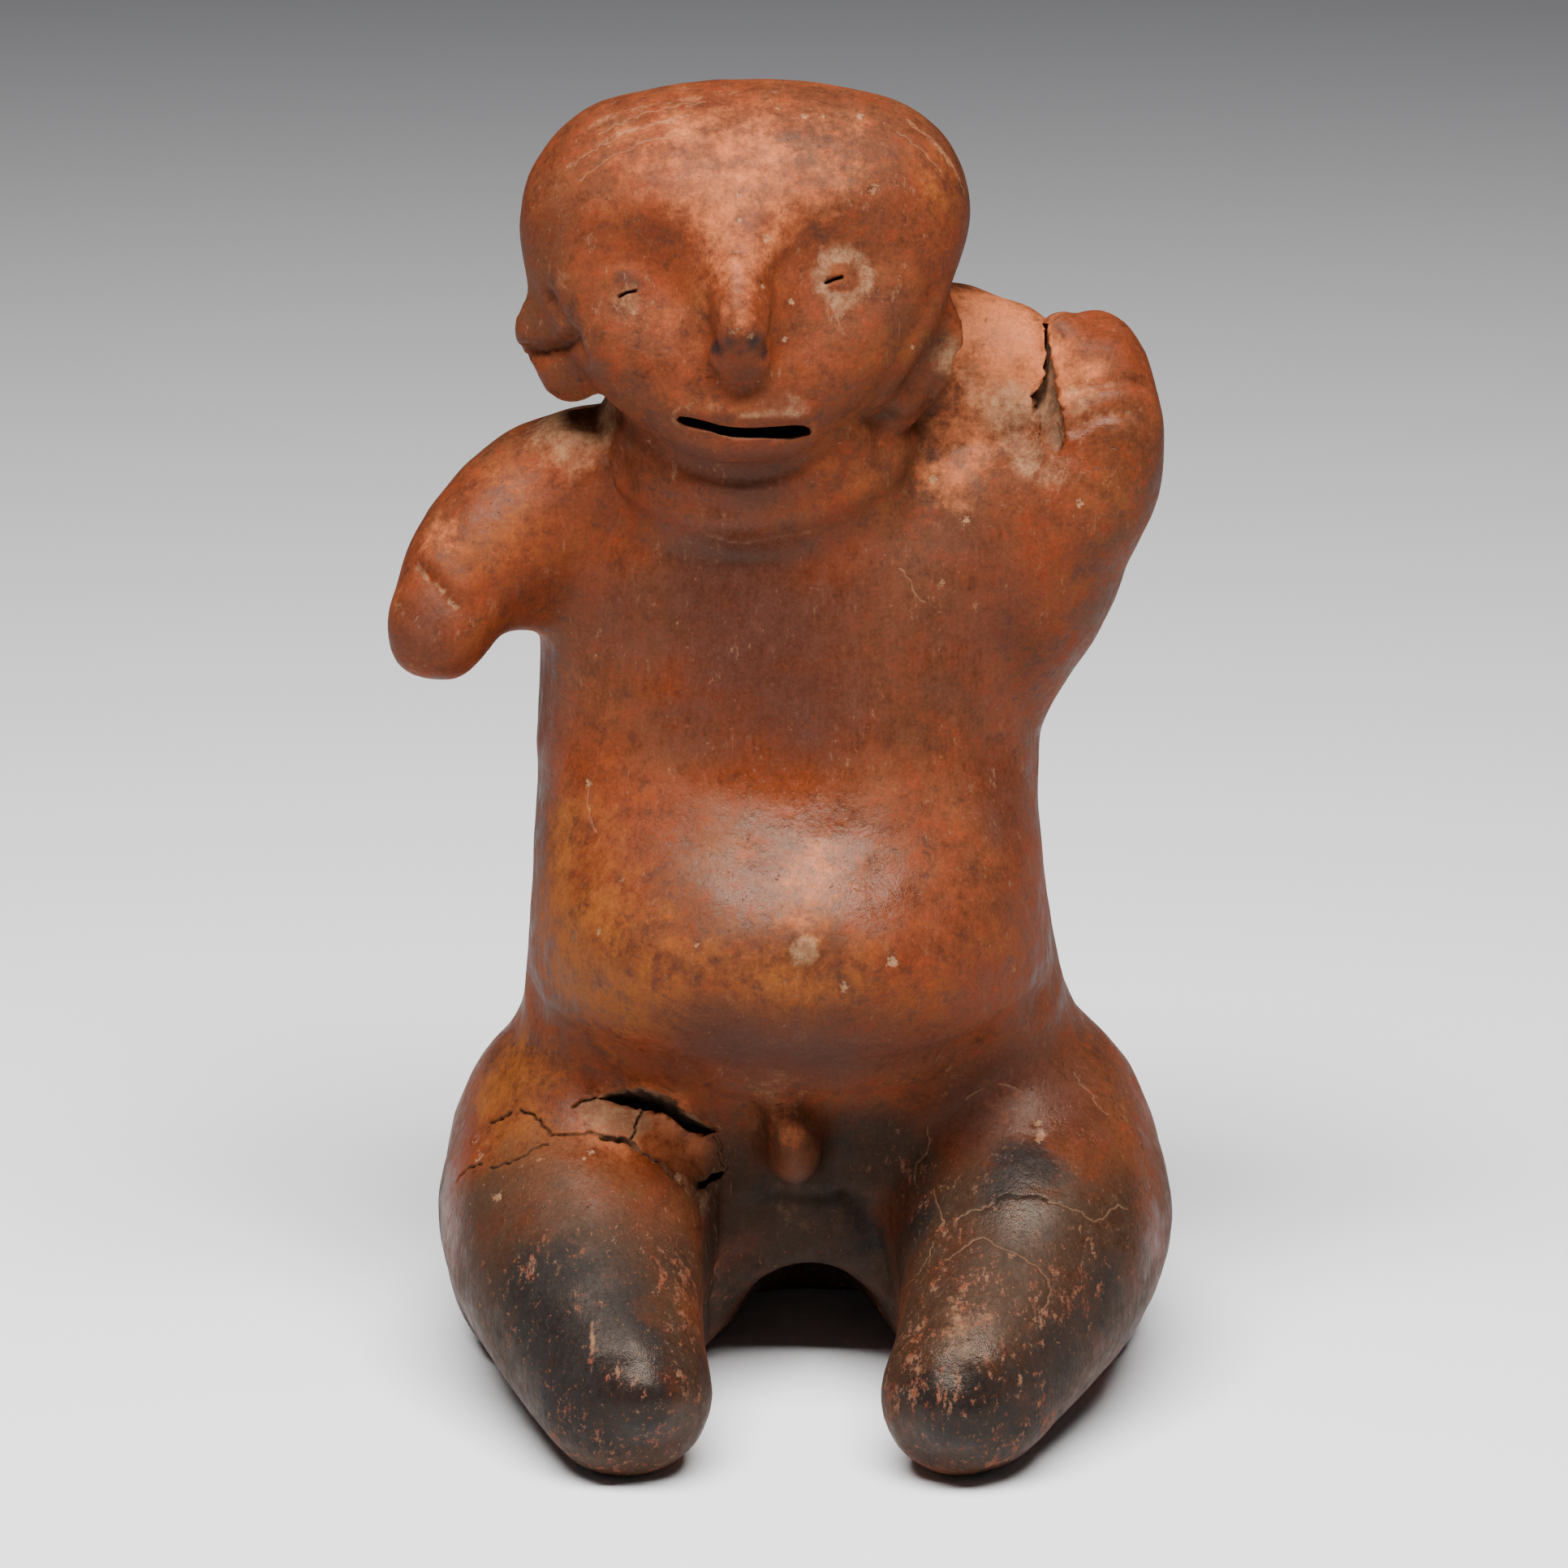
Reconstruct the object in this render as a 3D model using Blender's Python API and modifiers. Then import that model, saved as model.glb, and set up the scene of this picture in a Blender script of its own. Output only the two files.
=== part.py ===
"""Seated pottery figure: a hand-built clay figure with a broad mask-like head, a stub right arm,
a raised left arm that grips a lump on the shoulder, and swollen legs that taper to small feet.

It was built and fired as one piece, so it is one solid. It faces -Y and stands on z = 0.
"""

import bmesh
import bpy
import numpy as np
from mathutils import Matrix, Vector

# Driving sizes, in metres
HEIGHT = 0.300
WALL = 0.0065  # thickness of the clay shell, as the break in the thigh shows it
MOUTH_WIDTH = 0.0305
MOUTH_GAPE = 0.0036
MOUTH_DEPTH = 0.012
BREAK_LENGTH = 0.028
BREAK_WIDTH = 0.0042
GRIP_GAP = 0.0042  # gap between the raised forearm and the lump it grips
GRIP_DEPTH = 0.017
GRIP_LENGTH = 0.028
EYE_DIAMETER = 0.0085
EYE_RISE = 0.0012
NAVEL_DIAMETER = 0.0100
NAVEL_RISE = 0.0014

# The free form is given in three-hundredths of the height, which are millimetres at 0.300 m
PART = HEIGHT / 300

# Mesh sizes, as shares of the height
COARSE_VOXEL = HEIGHT / 125
FINE_VOXEL = HEIGHT / 210
TRIANGLES = 9200

COLLECTION = "seated_pottery_figure"


def place(x, y, z):
    """A point of the free form, from three-hundredths of the height to metres."""
    return Vector((x, y, z)) * PART


def empty_scene():
    for other in list(bpy.data.objects):
        bpy.data.objects.remove(other)


def new_object(name, mesh):
    made = bpy.data.objects.new(name, mesh)
    bpy.context.scene.collection.objects.link(made)
    return made


def from_bmesh(name, bm):
    bmesh.ops.recalc_face_normals(bm, faces=bm.faces)
    mesh = bpy.data.meshes.new(name)
    bm.to_mesh(mesh)
    bm.free()
    return new_object(name, mesh)


def evaluated(piece, name):
    """The piece as its modifiers leave it, as a new mesh object; the old one is removed."""
    bpy.context.view_layer.update()
    graph = bpy.context.evaluated_depsgraph_get()
    mesh = bpy.data.meshes.new_from_object(piece.evaluated_get(graph))
    mesh.transform(piece.matrix_world)
    bpy.data.objects.remove(piece)
    return new_object(name, mesh)


def ball(name, centre, half_sizes, turn=(0, 0, 0)):
    """A ball of clay, pressed to three half sizes and turned by degrees about X, Y and Z."""
    bm = bmesh.new()
    bmesh.ops.create_uvsphere(bm, u_segments=32, v_segments=18, radius=1)
    bmesh.ops.scale(bm, vec=Vector(half_sizes) * PART, verts=bm.verts)
    for degrees, axis in zip(turn, "XYZ"):
        bmesh.ops.rotate(bm, matrix=Matrix.Rotation(np.radians(degrees), 3, axis), verts=bm.verts)
    bmesh.ops.translate(bm, vec=place(*centre), verts=bm.verts)
    return from_bmesh(name, bm)


def clay_roll(name, stations):
    """A rolled limb through stations (x, y, z, radius), with a rounded end."""
    curve = bpy.data.curves.new(name, "CURVE")
    curve.dimensions = "3D"
    curve.bevel_depth = 1.0
    curve.bevel_resolution = 6
    curve.resolution_u = 6
    curve.use_fill_caps = True
    spline = curve.splines.new("BEZIER")
    spline.bezier_points.add(len(stations) - 1)
    spline.radius_interpolation = "CARDINAL"
    for point, (x, y, z, radius) in zip(spline.bezier_points, stations):
        point.co = place(x, y, z)
        point.radius = radius * PART
        point.handle_left_type = point.handle_right_type = "AUTO"
    roll = evaluated(new_object(name, curve), name)
    bm = bmesh.new()
    bm.from_mesh(roll.data)
    bmesh.ops.remove_doubles(bm, verts=bm.verts, dist=0.0001 * PART)
    bpy.data.objects.remove(roll)
    return from_bmesh(name, bm)


def ring_stack(name, stations, squareness=2.0, sides=40):
    """A hollow-built form as a stack of rings (x, y, z, half_width, half_depth), closed at both ends."""
    bm = bmesh.new()
    rings = []
    angles = np.linspace(0, 2 * np.pi, sides, endpoint=False)
    for x, y, z, half_width, half_depth in stations:
        across = np.sign(np.cos(angles)) * np.abs(np.cos(angles)) ** (2 / squareness)
        along = np.sign(np.sin(angles)) * np.abs(np.sin(angles)) ** (2 / squareness)
        rings.append(
            [
                bm.verts.new(place(x + half_width * a, y + half_depth * b, z))
                for a, b in zip(across, along)
            ]
        )
    for low, high in zip(rings, rings[1:]):
        for i in range(sides):
            j = (i + 1) % sides
            bm.faces.new((low[i], low[j], high[j], high[i]))
    bm.faces.new(rings[0])
    bm.faces.new(rings[-1])
    return from_bmesh(name, bm)


def skin(piece, name, voxel, smoothing=0):
    """One closed skin over everything in the piece, with its joints smoothed over."""
    wrap = piece.modifiers.new("Skin", "REMESH")
    wrap.mode = "VOXEL"
    wrap.voxel_size = voxel
    if smoothing:
        smooth = piece.modifiers.new("Smooth", "SMOOTH")
        smooth.factor = 0.5
        smooth.iterations = smoothing
    return evaluated(piece, name)


def join(name, pieces):
    bm = bmesh.new()
    for piece in pieces:
        bm.from_mesh(piece.data)
        bpy.data.objects.remove(piece)
    mesh = bpy.data.meshes.new(name)
    bm.to_mesh(mesh)
    bm.free()
    return new_object(name, mesh)


def cut(piece, cutter, name):
    """Takes the cutter's shape out of the piece."""
    difference = piece.modifiers.new("Cut", "BOOLEAN")
    difference.operation = "DIFFERENCE"
    difference.object = cutter
    piece = evaluated(piece, name)
    bpy.data.objects.remove(cutter)
    return piece


def vertex_array(piece):
    points = np.empty(len(piece.data.vertices) * 3)
    piece.data.vertices.foreach_get("co", points)
    return points.reshape(-1, 3)


def write_vertices(piece, points):
    piece.data.vertices.foreach_set("co", points.ravel())
    piece.data.update()


def press(piece, centre, radius, depth, direction=(0, 1, 0)):
    """A thumb pressed into the clay; a negative depth draws it out instead."""
    points = vertex_array(piece)
    share = np.linalg.norm(points - np.array(place(*centre)), axis=1) / (radius * PART)
    weight = np.clip(1 - share**2, 0, None) ** 2
    push = np.array(Vector(direction).normalized()) * depth * PART
    write_vertices(piece, points + weight[:, None] * push)


def torso():
    return ring_stack(
        "torso",
        [
            (6.5, 9, 6, 40, 22),
            (6.5, 8, 14, 50, 27),
            (6.5, 6, 27, 56, 30),
            (6.5, 5, 42, 60, 33),
            (6.5, 4, 58, 66, 35),
            (6, 2, 70, 67.5, 35.5),
            (5, -1, 80, 65.5, 39.5),
            (4, -4, 89, 62.5, 46.5),
            (3.5, -8, 99, 61, 53.5),
            (3, -9.5, 110, 59.5, 56.5),
            (2.5, -9, 120, 58.5, 55.5),
            (2.5, -6, 130, 58, 50),
            (2.5, -2, 141, 57.5, 43),
            (2.5, 1.5, 152, 57.5, 38.5),
            (3, 2, 165, 57.5, 36.5),
            (3, 3, 182, 56.5, 34.5),
            (2, 3, 197, 54, 32),
            (0, 4, 209, 48, 28),
            (-2, 4, 219, 38, 23),
            (-3, 4, 226, 26, 17),
        ],
        squareness=2.2,
    )


def neck():
    return ring_stack(
        "neck",
        [
            (-2, 2, 196, 36, 26),
            (-3, 0, 206, 37, 29),
            (-4, -2, 216, 35, 28),
            (-4.5, -4, 228, 34, 27),
            (-5, -5, 242, 32, 24),
        ],
    )


def head():
    return ring_stack(
        "head",
        [
            (-7.5, -21, 223.5, 9, 13),
            (-8, -20, 226, 16.5, 19),
            (-8, -17, 231, 24.5, 24.5),
            (-8, -13, 238, 33, 29.5),
            (-8, -9, 247, 41, 33),
            (-8, -7, 257, 46.5, 32.5),
            (-7.5, -6, 267, 50, 31),
            (-7, -5, 275, 50.5, 29),
            (-6.5, -4.5, 284, 48.5, 26),
            (-6, -4, 292, 43.5, 21.5),
            (-6, -3.5, 298.2, 35, 15.5),
            (-5.5, -3, 301.8, 23, 9),
            (-5.5, -3, 303.2, 10, 4),
        ],
        squareness=2.25,
    )


def haunch(name, x):
    """The swollen upper part of a leg, which the figure sits on."""
    return ring_stack(
        name,
        [
            (x, -1, -2, 20, 24),
            (x, -1, 2, 28, 32),
            (x, -1, 8, 32.5, 37),
            (x, 0, 17, 35, 41),
            (x, 0, 29, 36, 43),
            (x, 0, 41, 35.5, 43),
            (x, -1, 53, 33.5, 40.5),
            (x, -2, 64, 29.5, 36),
            (x, -3, 73, 24, 29),
            (x, -3, 80, 16, 19),
        ],
        squareness=2.1,
    )


def legs():
    """Each leg is a swollen haunch, drawn out forwards to a small foot."""
    return [
        haunch("right_haunch", -42.5),
        clay_roll(
            "right_shin",
            [
                (-43, -8, 39, 36),
                (-45, -28, 36, 33),
                (-42, -49, 28.5, 27),
                (-36.5, -67, 21, 22),
                (-32, -80, 16, 19),
                (-30.5, -88, 13.5, 12.5),
            ],
        ),
        haunch("left_haunch", 55),
        clay_roll(
            "left_shin",
            [
                (56, -8, 39, 36),
                (58, -28, 36, 33),
                (53.5, -49, 28.5, 27),
                (46, -67, 21, 21.5),
                (39.5, -80, 16, 18.5),
                (37, -88, 13.5, 12),
            ],
        ),
        ball("seat", (6.5, 22, 26), (42, 22, 26)),
    ]


def arch_cutter():
    """The hollow under the seat, open between the feet and closed behind."""
    return ball("arch", (7.5, -44, 0), (22, 64, 29))


def arms():
    return [
        clay_roll(
            "right_arm",
            [
                (-26, 3, 210, 18),
                (-45, 0, 207, 20),
                (-58, -7, 202, 19),
                (-68, -16, 195, 16),
                (-74, -22, 187, 13.5),
                (-76.5, -27, 179, 12),
                (-77.5, -29, 173, 7.5),
            ],
        ),
        clay_roll(
            "left_arm",
            [
                (20, 4, 210, 17),
                (38, 2, 206, 19),
                (54, -3, 201, 20),
                (66, -8, 208, 19),
                (72.5, -9, 219, 15.5),
                (73.5, -5, 231, 13),
                (69, 0, 241, 12),
                (63.5, 4, 245, 8),
            ],
        ),
        ball("right_armpit", (-59, -9, 190), (15, 13, 12)),
        clay_roll("left_upper_arm", [(43, 0, 148, 14), (49, 0, 168, 18), (56, -4, 188, 21), (64, -7, 205, 19)]),
    ]


def shoulder_lump():
    """The lump of clay on the left shoulder, flat on top and pushed up against the hand."""
    return [
        ball("shoulder_lump", (38, 8, 232), (21, 18, 22)),
        ball("shoulder_lump_side", (51, 6, 231), (16, 16, 20)),
    ]


def ears():
    """The right ear is two pellets, one above the other; the left one is a flap along the jaw."""
    return [
        ball("right_ear_top", (-51, -13, 249.5), (8, 5, 8.5)),
        ball("right_ear_lobe", (-45.5, -16, 241.5), (8.5, 5.5, 8.5)),
        ball("left_ear_flap", (31, -15, 243.5), (10, 5, 16), turn=(0, 28, 0)),
        ball("left_ear_lobe", (26.5, -17, 234.5), (6.5, 5, 6.5)),
    ]


def surface(piece, x, z, inset=0.0, facing=1):
    """The point of the figure's front at x and z, moved inwards by the inset, in parts."""
    found, point, normal, index = piece.ray_cast(place(x, -300 * facing, z), Vector((0, facing, 0)))
    return Vector((x, point.y / PART + inset * facing, z))


def nose():
    return clay_roll(
        "nose",
        [
            (-6.5, -16, 286, 11),
            (-6.5, -25.5, 277, 10),
            (-7, -34.5, 268, 8.2),
            (-7.5, -43.5, 260, 7.4),
            (-7.5, -46, 255, 5.8),
        ],
    )


def face(skull):
    """Thumbed eye hollows under the brow and beside the ridge of the nose."""
    press(skull, (-28, -36, 267), 20, 5.5)
    press(skull, (14, -36, 269), 20, 5.5)
    press(skull, (-21, -40, 257), 13, 1.5)
    press(skull, (6, -40, 258), 13, 1.5)
    press(skull, (-27, -30, 282), 17, -2.2)
    press(skull, (13, -30, 283), 17, -2.2)


def crease(piece, line, half_width, depth, facing=1):
    """Draws a soft groove along a line of points (x, z) on the front, or on the back if facing is -1."""
    points = vertex_array(piece)
    normals = np.empty(points.size)
    piece.data.vertices.foreach_get("normal", normals)
    path = [np.array(surface(piece, x, z, 0, facing)) * PART for x, z in line]
    nearest = np.full(len(points), np.inf)
    for start, end in zip(path, path[1:]):
        along = np.clip((points - start) @ (end - start) / np.sum((end - start) ** 2), 0, 1)
        gap = np.linalg.norm(points - start - along[:, None] * (end - start), axis=1)
        nearest = np.minimum(nearest, gap)
    weight = np.clip(1 - (nearest / (half_width * PART)) ** 2, 0, None) ** 2
    write_vertices(piece, points - weight[:, None] * normals.reshape(-1, 3) * depth * PART)


def pellet(name, body, x, z, diameter, rise):
    """A flattened pellet of clay pressed on to the front of the figure."""
    radius = diameter / 2 / PART
    thickness = 2.5 * rise / PART
    centre = surface(body, x, z, thickness - rise / PART)
    return ball(name, centre, (radius, thickness, radius))


def figure():
    body = skin(join("body", [torso(), *legs(), *arms()]), "body", COARSE_VOXEL)
    body = cut(body, arch_cutter(), "body")
    body = skin(body, "body", COARSE_VOXEL, 9)
    crease(body, [(-56, 90), (-40, 86), (-24, 84)], 10, 2.2)
    crease(body, [(30, 86), (45, 88), (60, 93)], 10, 2.2)
    crease(body, [(6, 60), (6.5, 40), (6.5, 22), (6.5, 8)], 14, 6, facing=-1)
    skull = skin(join("skull", [head(), nose()]), "skull", HEIGHT / 150, 5)
    face(skull)
    skull = skin(skull, "skull", HEIGHT / 150, 3)
    parts = [
        body,
        neck(),
        skull,
        *shoulder_lump(),
        *ears(),
        ball("loins", (3.5, -33, 65), (8, 10, 11)),
        pellet("right_eye", skull, -33, 266.5, EYE_DIAMETER, EYE_RISE),
        pellet("left_eye", skull, 13.5, 269, EYE_DIAMETER, EYE_RISE),
        pellet("navel", body, 6.5, 121.5, NAVEL_DIAMETER, NAVEL_RISE),
    ]
    whole = skin(join("seated_figure", parts), "seated_figure", FINE_VOXEL, 3)
    crease(whole, [(-37, 216), (-29, 210.5), (-17, 207), (-8, 206.5), (8, 208), (20, 211)], 4, 1.0)
    return whole


def box_cutter(name, centre, sizes, turn=(0, 0, 0)):
    """A block with rounded edges, at a centre in parts and with sizes in metres."""
    bm = bmesh.new()
    bmesh.ops.create_cube(bm, size=1)
    bmesh.ops.scale(bm, vec=sizes, verts=bm.verts)
    bmesh.ops.bevel(bm, geom=bm.edges[:], offset=min(sizes) * 0.3, segments=2, affect="EDGES")
    for degrees, axis in zip(turn, "XYZ"):
        bmesh.ops.rotate(bm, matrix=Matrix.Rotation(np.radians(degrees), 3, axis), verts=bm.verts)
    bmesh.ops.translate(bm, vec=place(*centre), verts=bm.verts)
    return from_bmesh(name, bm)


def openings(solid):
    """The slot of the mouth, the gap inside the raised arm and the break in the right thigh."""
    mouth = box_cutter(
        "mouth", surface(solid, -7.6, 232.6), (MOUTH_WIDTH, 2 * MOUTH_DEPTH, MOUTH_GAPE), turn=(0, 9.5, 0)
    )
    solid = cut(solid, mouth, "seated_figure")
    grip = box_cutter("grip", (61.5, -14, 238), (GRIP_GAP, 2 * GRIP_DEPTH, GRIP_LENGTH), turn=(0, -4, 0))
    solid = cut(solid, grip, "seated_figure")
    broken = box_cutter(
        "break", surface(solid, -28, 70), (BREAK_LENGTH, BREAK_WIDTH, 2 * WALL), turn=(40, 14, 0)
    )
    return cut(solid, broken, "seated_figure")


def finish_solid(whole):
    """Fewer triangles, flat spots to stand on, the exact height, and the plan centred on the origin."""
    fewer = whole.modifiers.new("Fewer", "DECIMATE")
    fewer.ratio = min(1.0, TRIANGLES / (2 * len(whole.data.polygons)))
    whole = evaluated(whole, "seated_figure")
    bm = bmesh.new()
    bm.from_mesh(whole.data)
    geometry = bm.verts[:] + bm.edges[:] + bm.faces[:]
    trimmed = bmesh.ops.bisect_plane(
        bm, geom=geometry, plane_co=(0, 0, 0), plane_no=(0, 0, -1), clear_outer=True
    )
    rim = [e for e in trimmed["geom_cut"] if isinstance(e, bmesh.types.BMEdge)]
    bmesh.ops.holes_fill(bm, edges=rim)
    bmesh.ops.triangulate(bm, faces=bm.faces)
    bmesh.ops.scale(bm, vec=[HEIGHT / max(v.co.z for v in bm.verts)] * 3, verts=bm.verts)
    bpy.data.objects.remove(whole)
    solid = openings(from_bmesh("seated_figure", bm))
    points = vertex_array(solid)
    middle = (points.min(axis=0) + points.max(axis=0)) / 2
    write_vertices(solid, points - [middle[0], middle[1], 0])
    return solid


def fired_clay():
    clay = bpy.data.materials.new("fired_clay")
    clay.use_nodes = True
    shader = clay.node_tree.nodes["Principled BSDF"]
    shader.inputs["Base Color"].default_value = (0.36, 0.13, 0.06, 1)
    shader.inputs["Roughness"].default_value = 0.35
    shader.inputs["Metallic"].default_value = 0
    return clay


def main():
    empty_scene()
    solid = finish_solid(figure())
    solid.data.materials.clear()
    solid.data.materials.append(fired_clay())
    solid.data.shade_smooth()
    collection = bpy.data.collections.new(COLLECTION)
    bpy.context.scene.collection.children.link(collection)
    bpy.context.scene.collection.objects.unlink(solid)
    collection.objects.link(solid)


main()
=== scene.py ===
"""Looks of the seated pottery figure: one burnished clay piece over the CAD solid.

The solid's form is taken as leather-hard clay, then the face, bands, seams, cracks and broken
places are worked into it. Marks that the picture shows are placed by its columns and rows.
"""

import math

import bmesh
import bpy
import numpy as np
from mathutils import Matrix, Vector, noise
from mathutils.bvhtree import BVHTree
from mathutils.kdtree import KDTree


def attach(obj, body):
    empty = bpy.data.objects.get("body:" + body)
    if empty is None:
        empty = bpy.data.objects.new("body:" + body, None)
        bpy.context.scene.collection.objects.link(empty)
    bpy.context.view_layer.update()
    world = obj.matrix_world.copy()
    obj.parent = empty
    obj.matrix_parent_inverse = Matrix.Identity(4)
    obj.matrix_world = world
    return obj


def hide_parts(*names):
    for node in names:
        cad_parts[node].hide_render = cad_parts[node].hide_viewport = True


MM = 0.001

# The camera, in the frame of the solid
IMAGE_SIDE = 1932
OPTICAL_CENTRE = (957, 963)
FOCAL_PIXELS = 8600
CAMERA_PITCH = math.radians(20)
CAMERA_AIM = Vector((-0.0021, 0.0221, 0.1366))
CAMERA_DISTANCE = 1.5836
SENSOR_WIDTH = 36.0

# The clay's mesh
SKIN_VOXEL = 1.56 * MM
SMOOTHING_SHARE = 0.5
SMOOTHING_PASSES = 5
HEAL_MARGIN = 0.2 * MM

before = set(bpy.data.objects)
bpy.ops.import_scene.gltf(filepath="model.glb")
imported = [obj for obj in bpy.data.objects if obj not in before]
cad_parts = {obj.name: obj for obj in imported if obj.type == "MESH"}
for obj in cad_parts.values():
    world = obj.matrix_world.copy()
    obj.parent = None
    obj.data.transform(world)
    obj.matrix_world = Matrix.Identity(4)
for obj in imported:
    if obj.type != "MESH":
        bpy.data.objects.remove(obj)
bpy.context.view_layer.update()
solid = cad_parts["seated_figure"]


# Small helpers


def deselect_all():
    bpy.ops.object.select_all(action="DESELECT")


def pick(thing):
    deselect_all()
    thing.select_set(True)
    bpy.context.view_layer.objects.active = thing


def apply_modifiers(thing):
    pick(thing)
    for modifier in list(thing.modifiers):
        bpy.ops.object.modifier_apply(modifier=modifier.name)


def vertex_values(thing, name):
    values = np.empty(len(thing.data.vertices) * 3)
    thing.data.vertices.foreach_get(name, values)
    return values.reshape(-1, 3)


def move_points(thing, points):
    thing.data.vertices.foreach_set("co", points.ravel())
    thing.data.update()


def tree_of(thing):
    return BVHTree.FromObject(thing, bpy.context.evaluated_depsgraph_get())


# Camera and the places it sees


def camera_axes():
    forward = Vector((0, math.cos(CAMERA_PITCH), -math.sin(CAMERA_PITCH)))
    right = Vector((1, 0, 0))
    return forward, right, right.cross(forward)


def add_camera():
    forward = camera_axes()[0]
    lens = bpy.data.cameras.new("camera")
    lens.sensor_width = SENSOR_WIDTH
    lens.lens = FOCAL_PIXELS / IMAGE_SIDE * SENSOR_WIDTH
    lens.shift_x = (IMAGE_SIDE / 2 - OPTICAL_CENTRE[0]) / IMAGE_SIDE
    lens.shift_y = (OPTICAL_CENTRE[1] - IMAGE_SIDE / 2) / IMAGE_SIDE
    camera = bpy.data.objects.new("camera", lens)
    bpy.context.scene.collection.objects.link(camera)
    camera.location = CAMERA_AIM - forward * CAMERA_DISTANCE
    camera.rotation_euler = forward.to_track_quat("-Z", "Y").to_euler()
    bpy.context.scene.camera = camera


def seen(tree, column, row):
    """The place on the clay that shows at a column and row of the picture, or the one nearest to it."""
    forward, right, up = camera_axes()
    across = (column - OPTICAL_CENTRE[0]) / FOCAL_PIXELS
    down = (row - OPTICAL_CENTRE[1]) / FOCAL_PIXELS
    direction = (forward + right * across - up * down).normalized()
    eye = CAMERA_AIM - forward * CAMERA_DISTANCE
    return tree.ray_cast(eye, direction)[0] or tree.find_nearest(eye + direction * CAMERA_DISTANCE)[0]


# The solid as soft clay: its plain cuts are healed, so that the worked ones can take their place

# Boxes round the plain cuts, in millimetres and degrees: centre, sizes, turn about the three axes
PLAIN_CUTS = {
    "mouth": ((-9.70, -19.33, 232.60), (30.5, 24.0, 3.6), (0, 9.5, 0)),
    "grip": ((59.40, 8.07, 238.00), (4.2, 34.0, 28.0), (0, -4, 0)),
    "thigh_break": ((-30.10, -9.07, 70.00), (28.0, 4.2, 13.0), (40, 14, 0)),
}
MERGE_DISTANCE = 0.01 * MM


def heal_cut(skin, centre, sizes, turn):
    """Takes out the walls of a cut in the solid and closes the clay over it."""
    rotation = Matrix.Identity(3)
    for degrees, axis in zip(turn, "XYZ"):
        rotation = Matrix.Rotation(math.radians(degrees), 3, axis) @ rotation
    inverse = rotation.inverted()
    bm = bmesh.new()
    bm.from_mesh(skin.data)

    def inside(vertex):
        local = inverse @ (vertex.co - Vector(centre) * MM)
        return all(abs(local[i]) < sizes[i] * MM / 2 + HEAL_MARGIN for i in range(3))

    walls = [face for face in bm.faces if all(inside(vertex) for vertex in face.verts)]
    bmesh.ops.delete(bm, geom=walls, context="FACES")
    rim = [edge for edge in bm.edges if edge.is_boundary]
    filled = bmesh.ops.holes_fill(bm, edges=rim)
    bmesh.ops.triangulate(bm, faces=filled["faces"])
    bm.to_mesh(skin.data)
    bm.free()


def clay_skin(node):
    """A fine closed skin over the CAD solid."""
    skin = bpy.data.objects.new("clay_figure", node.data.copy())
    bpy.context.scene.collection.objects.link(skin)
    pick(skin)
    bpy.ops.object.mode_set(mode="EDIT")
    bpy.ops.mesh.select_all(action="SELECT")
    bpy.ops.mesh.remove_doubles(threshold=MERGE_DISTANCE)
    bpy.ops.object.mode_set(mode="OBJECT")
    for centre, sizes, turn in PLAIN_CUTS.values():
        heal_cut(skin, centre, sizes, turn)
    rounding = skin.modifiers.new("Rounding", "SUBSURF")
    rounding.levels = 1
    rounding.render_levels = 1
    wrap = skin.modifiers.new("Skin", "REMESH")
    wrap.mode = "VOXEL"
    wrap.voxel_size = SKIN_VOXEL
    smooth = skin.modifiers.new("Smooth", "SMOOTH")
    smooth.factor = SMOOTHING_SHARE
    smooth.iterations = SMOOTHING_PASSES
    apply_modifiers(skin)
    return skin


# Working the clay. Radii, widths and depths are in millimetres; a depth below zero builds clay up.


def fall_off(distance, reach):
    return np.clip(1 - (distance / reach) ** 2, 0, None) ** 2


def distance_to_path(points, path):
    nearest = np.full(len(points), np.inf)
    for start, end in zip(path, path[1:]):
        along = end - start
        share = np.clip((points - start) @ along / np.sum(along**2), 0, 1)
        nearest = np.minimum(nearest, np.linalg.norm(points - start - share[:, None] * along, axis=1))
    return nearest


def path_of(tree, marks):
    return [np.array(seen(tree, column, row)) for column, row in marks]


def press_spots(clay, tree, spots):
    """Presses the clay in at spots (column, row, radius, depth)."""
    points = vertex_values(clay, "co")
    normals = vertex_values(clay, "normal")
    for column, row, radius, depth in spots:
        centre = np.array(seen(tree, column, row))
        weight = fall_off(np.linalg.norm(points - centre, axis=1), radius * MM)
        points -= weight[:, None] * normals * depth * MM
    move_points(clay, points)


def draw_lines(clay, tree, lines):
    """Draws grooves (marks, half width, depth) along lines of marks."""
    points = vertex_values(clay, "co")
    normals = vertex_values(clay, "normal")
    for marks, half_width, depth in lines:
        weight = fall_off(distance_to_path(points, path_of(tree, marks)), half_width * MM)
        points -= weight[:, None] * normals * depth * MM
    move_points(clay, points)


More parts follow.
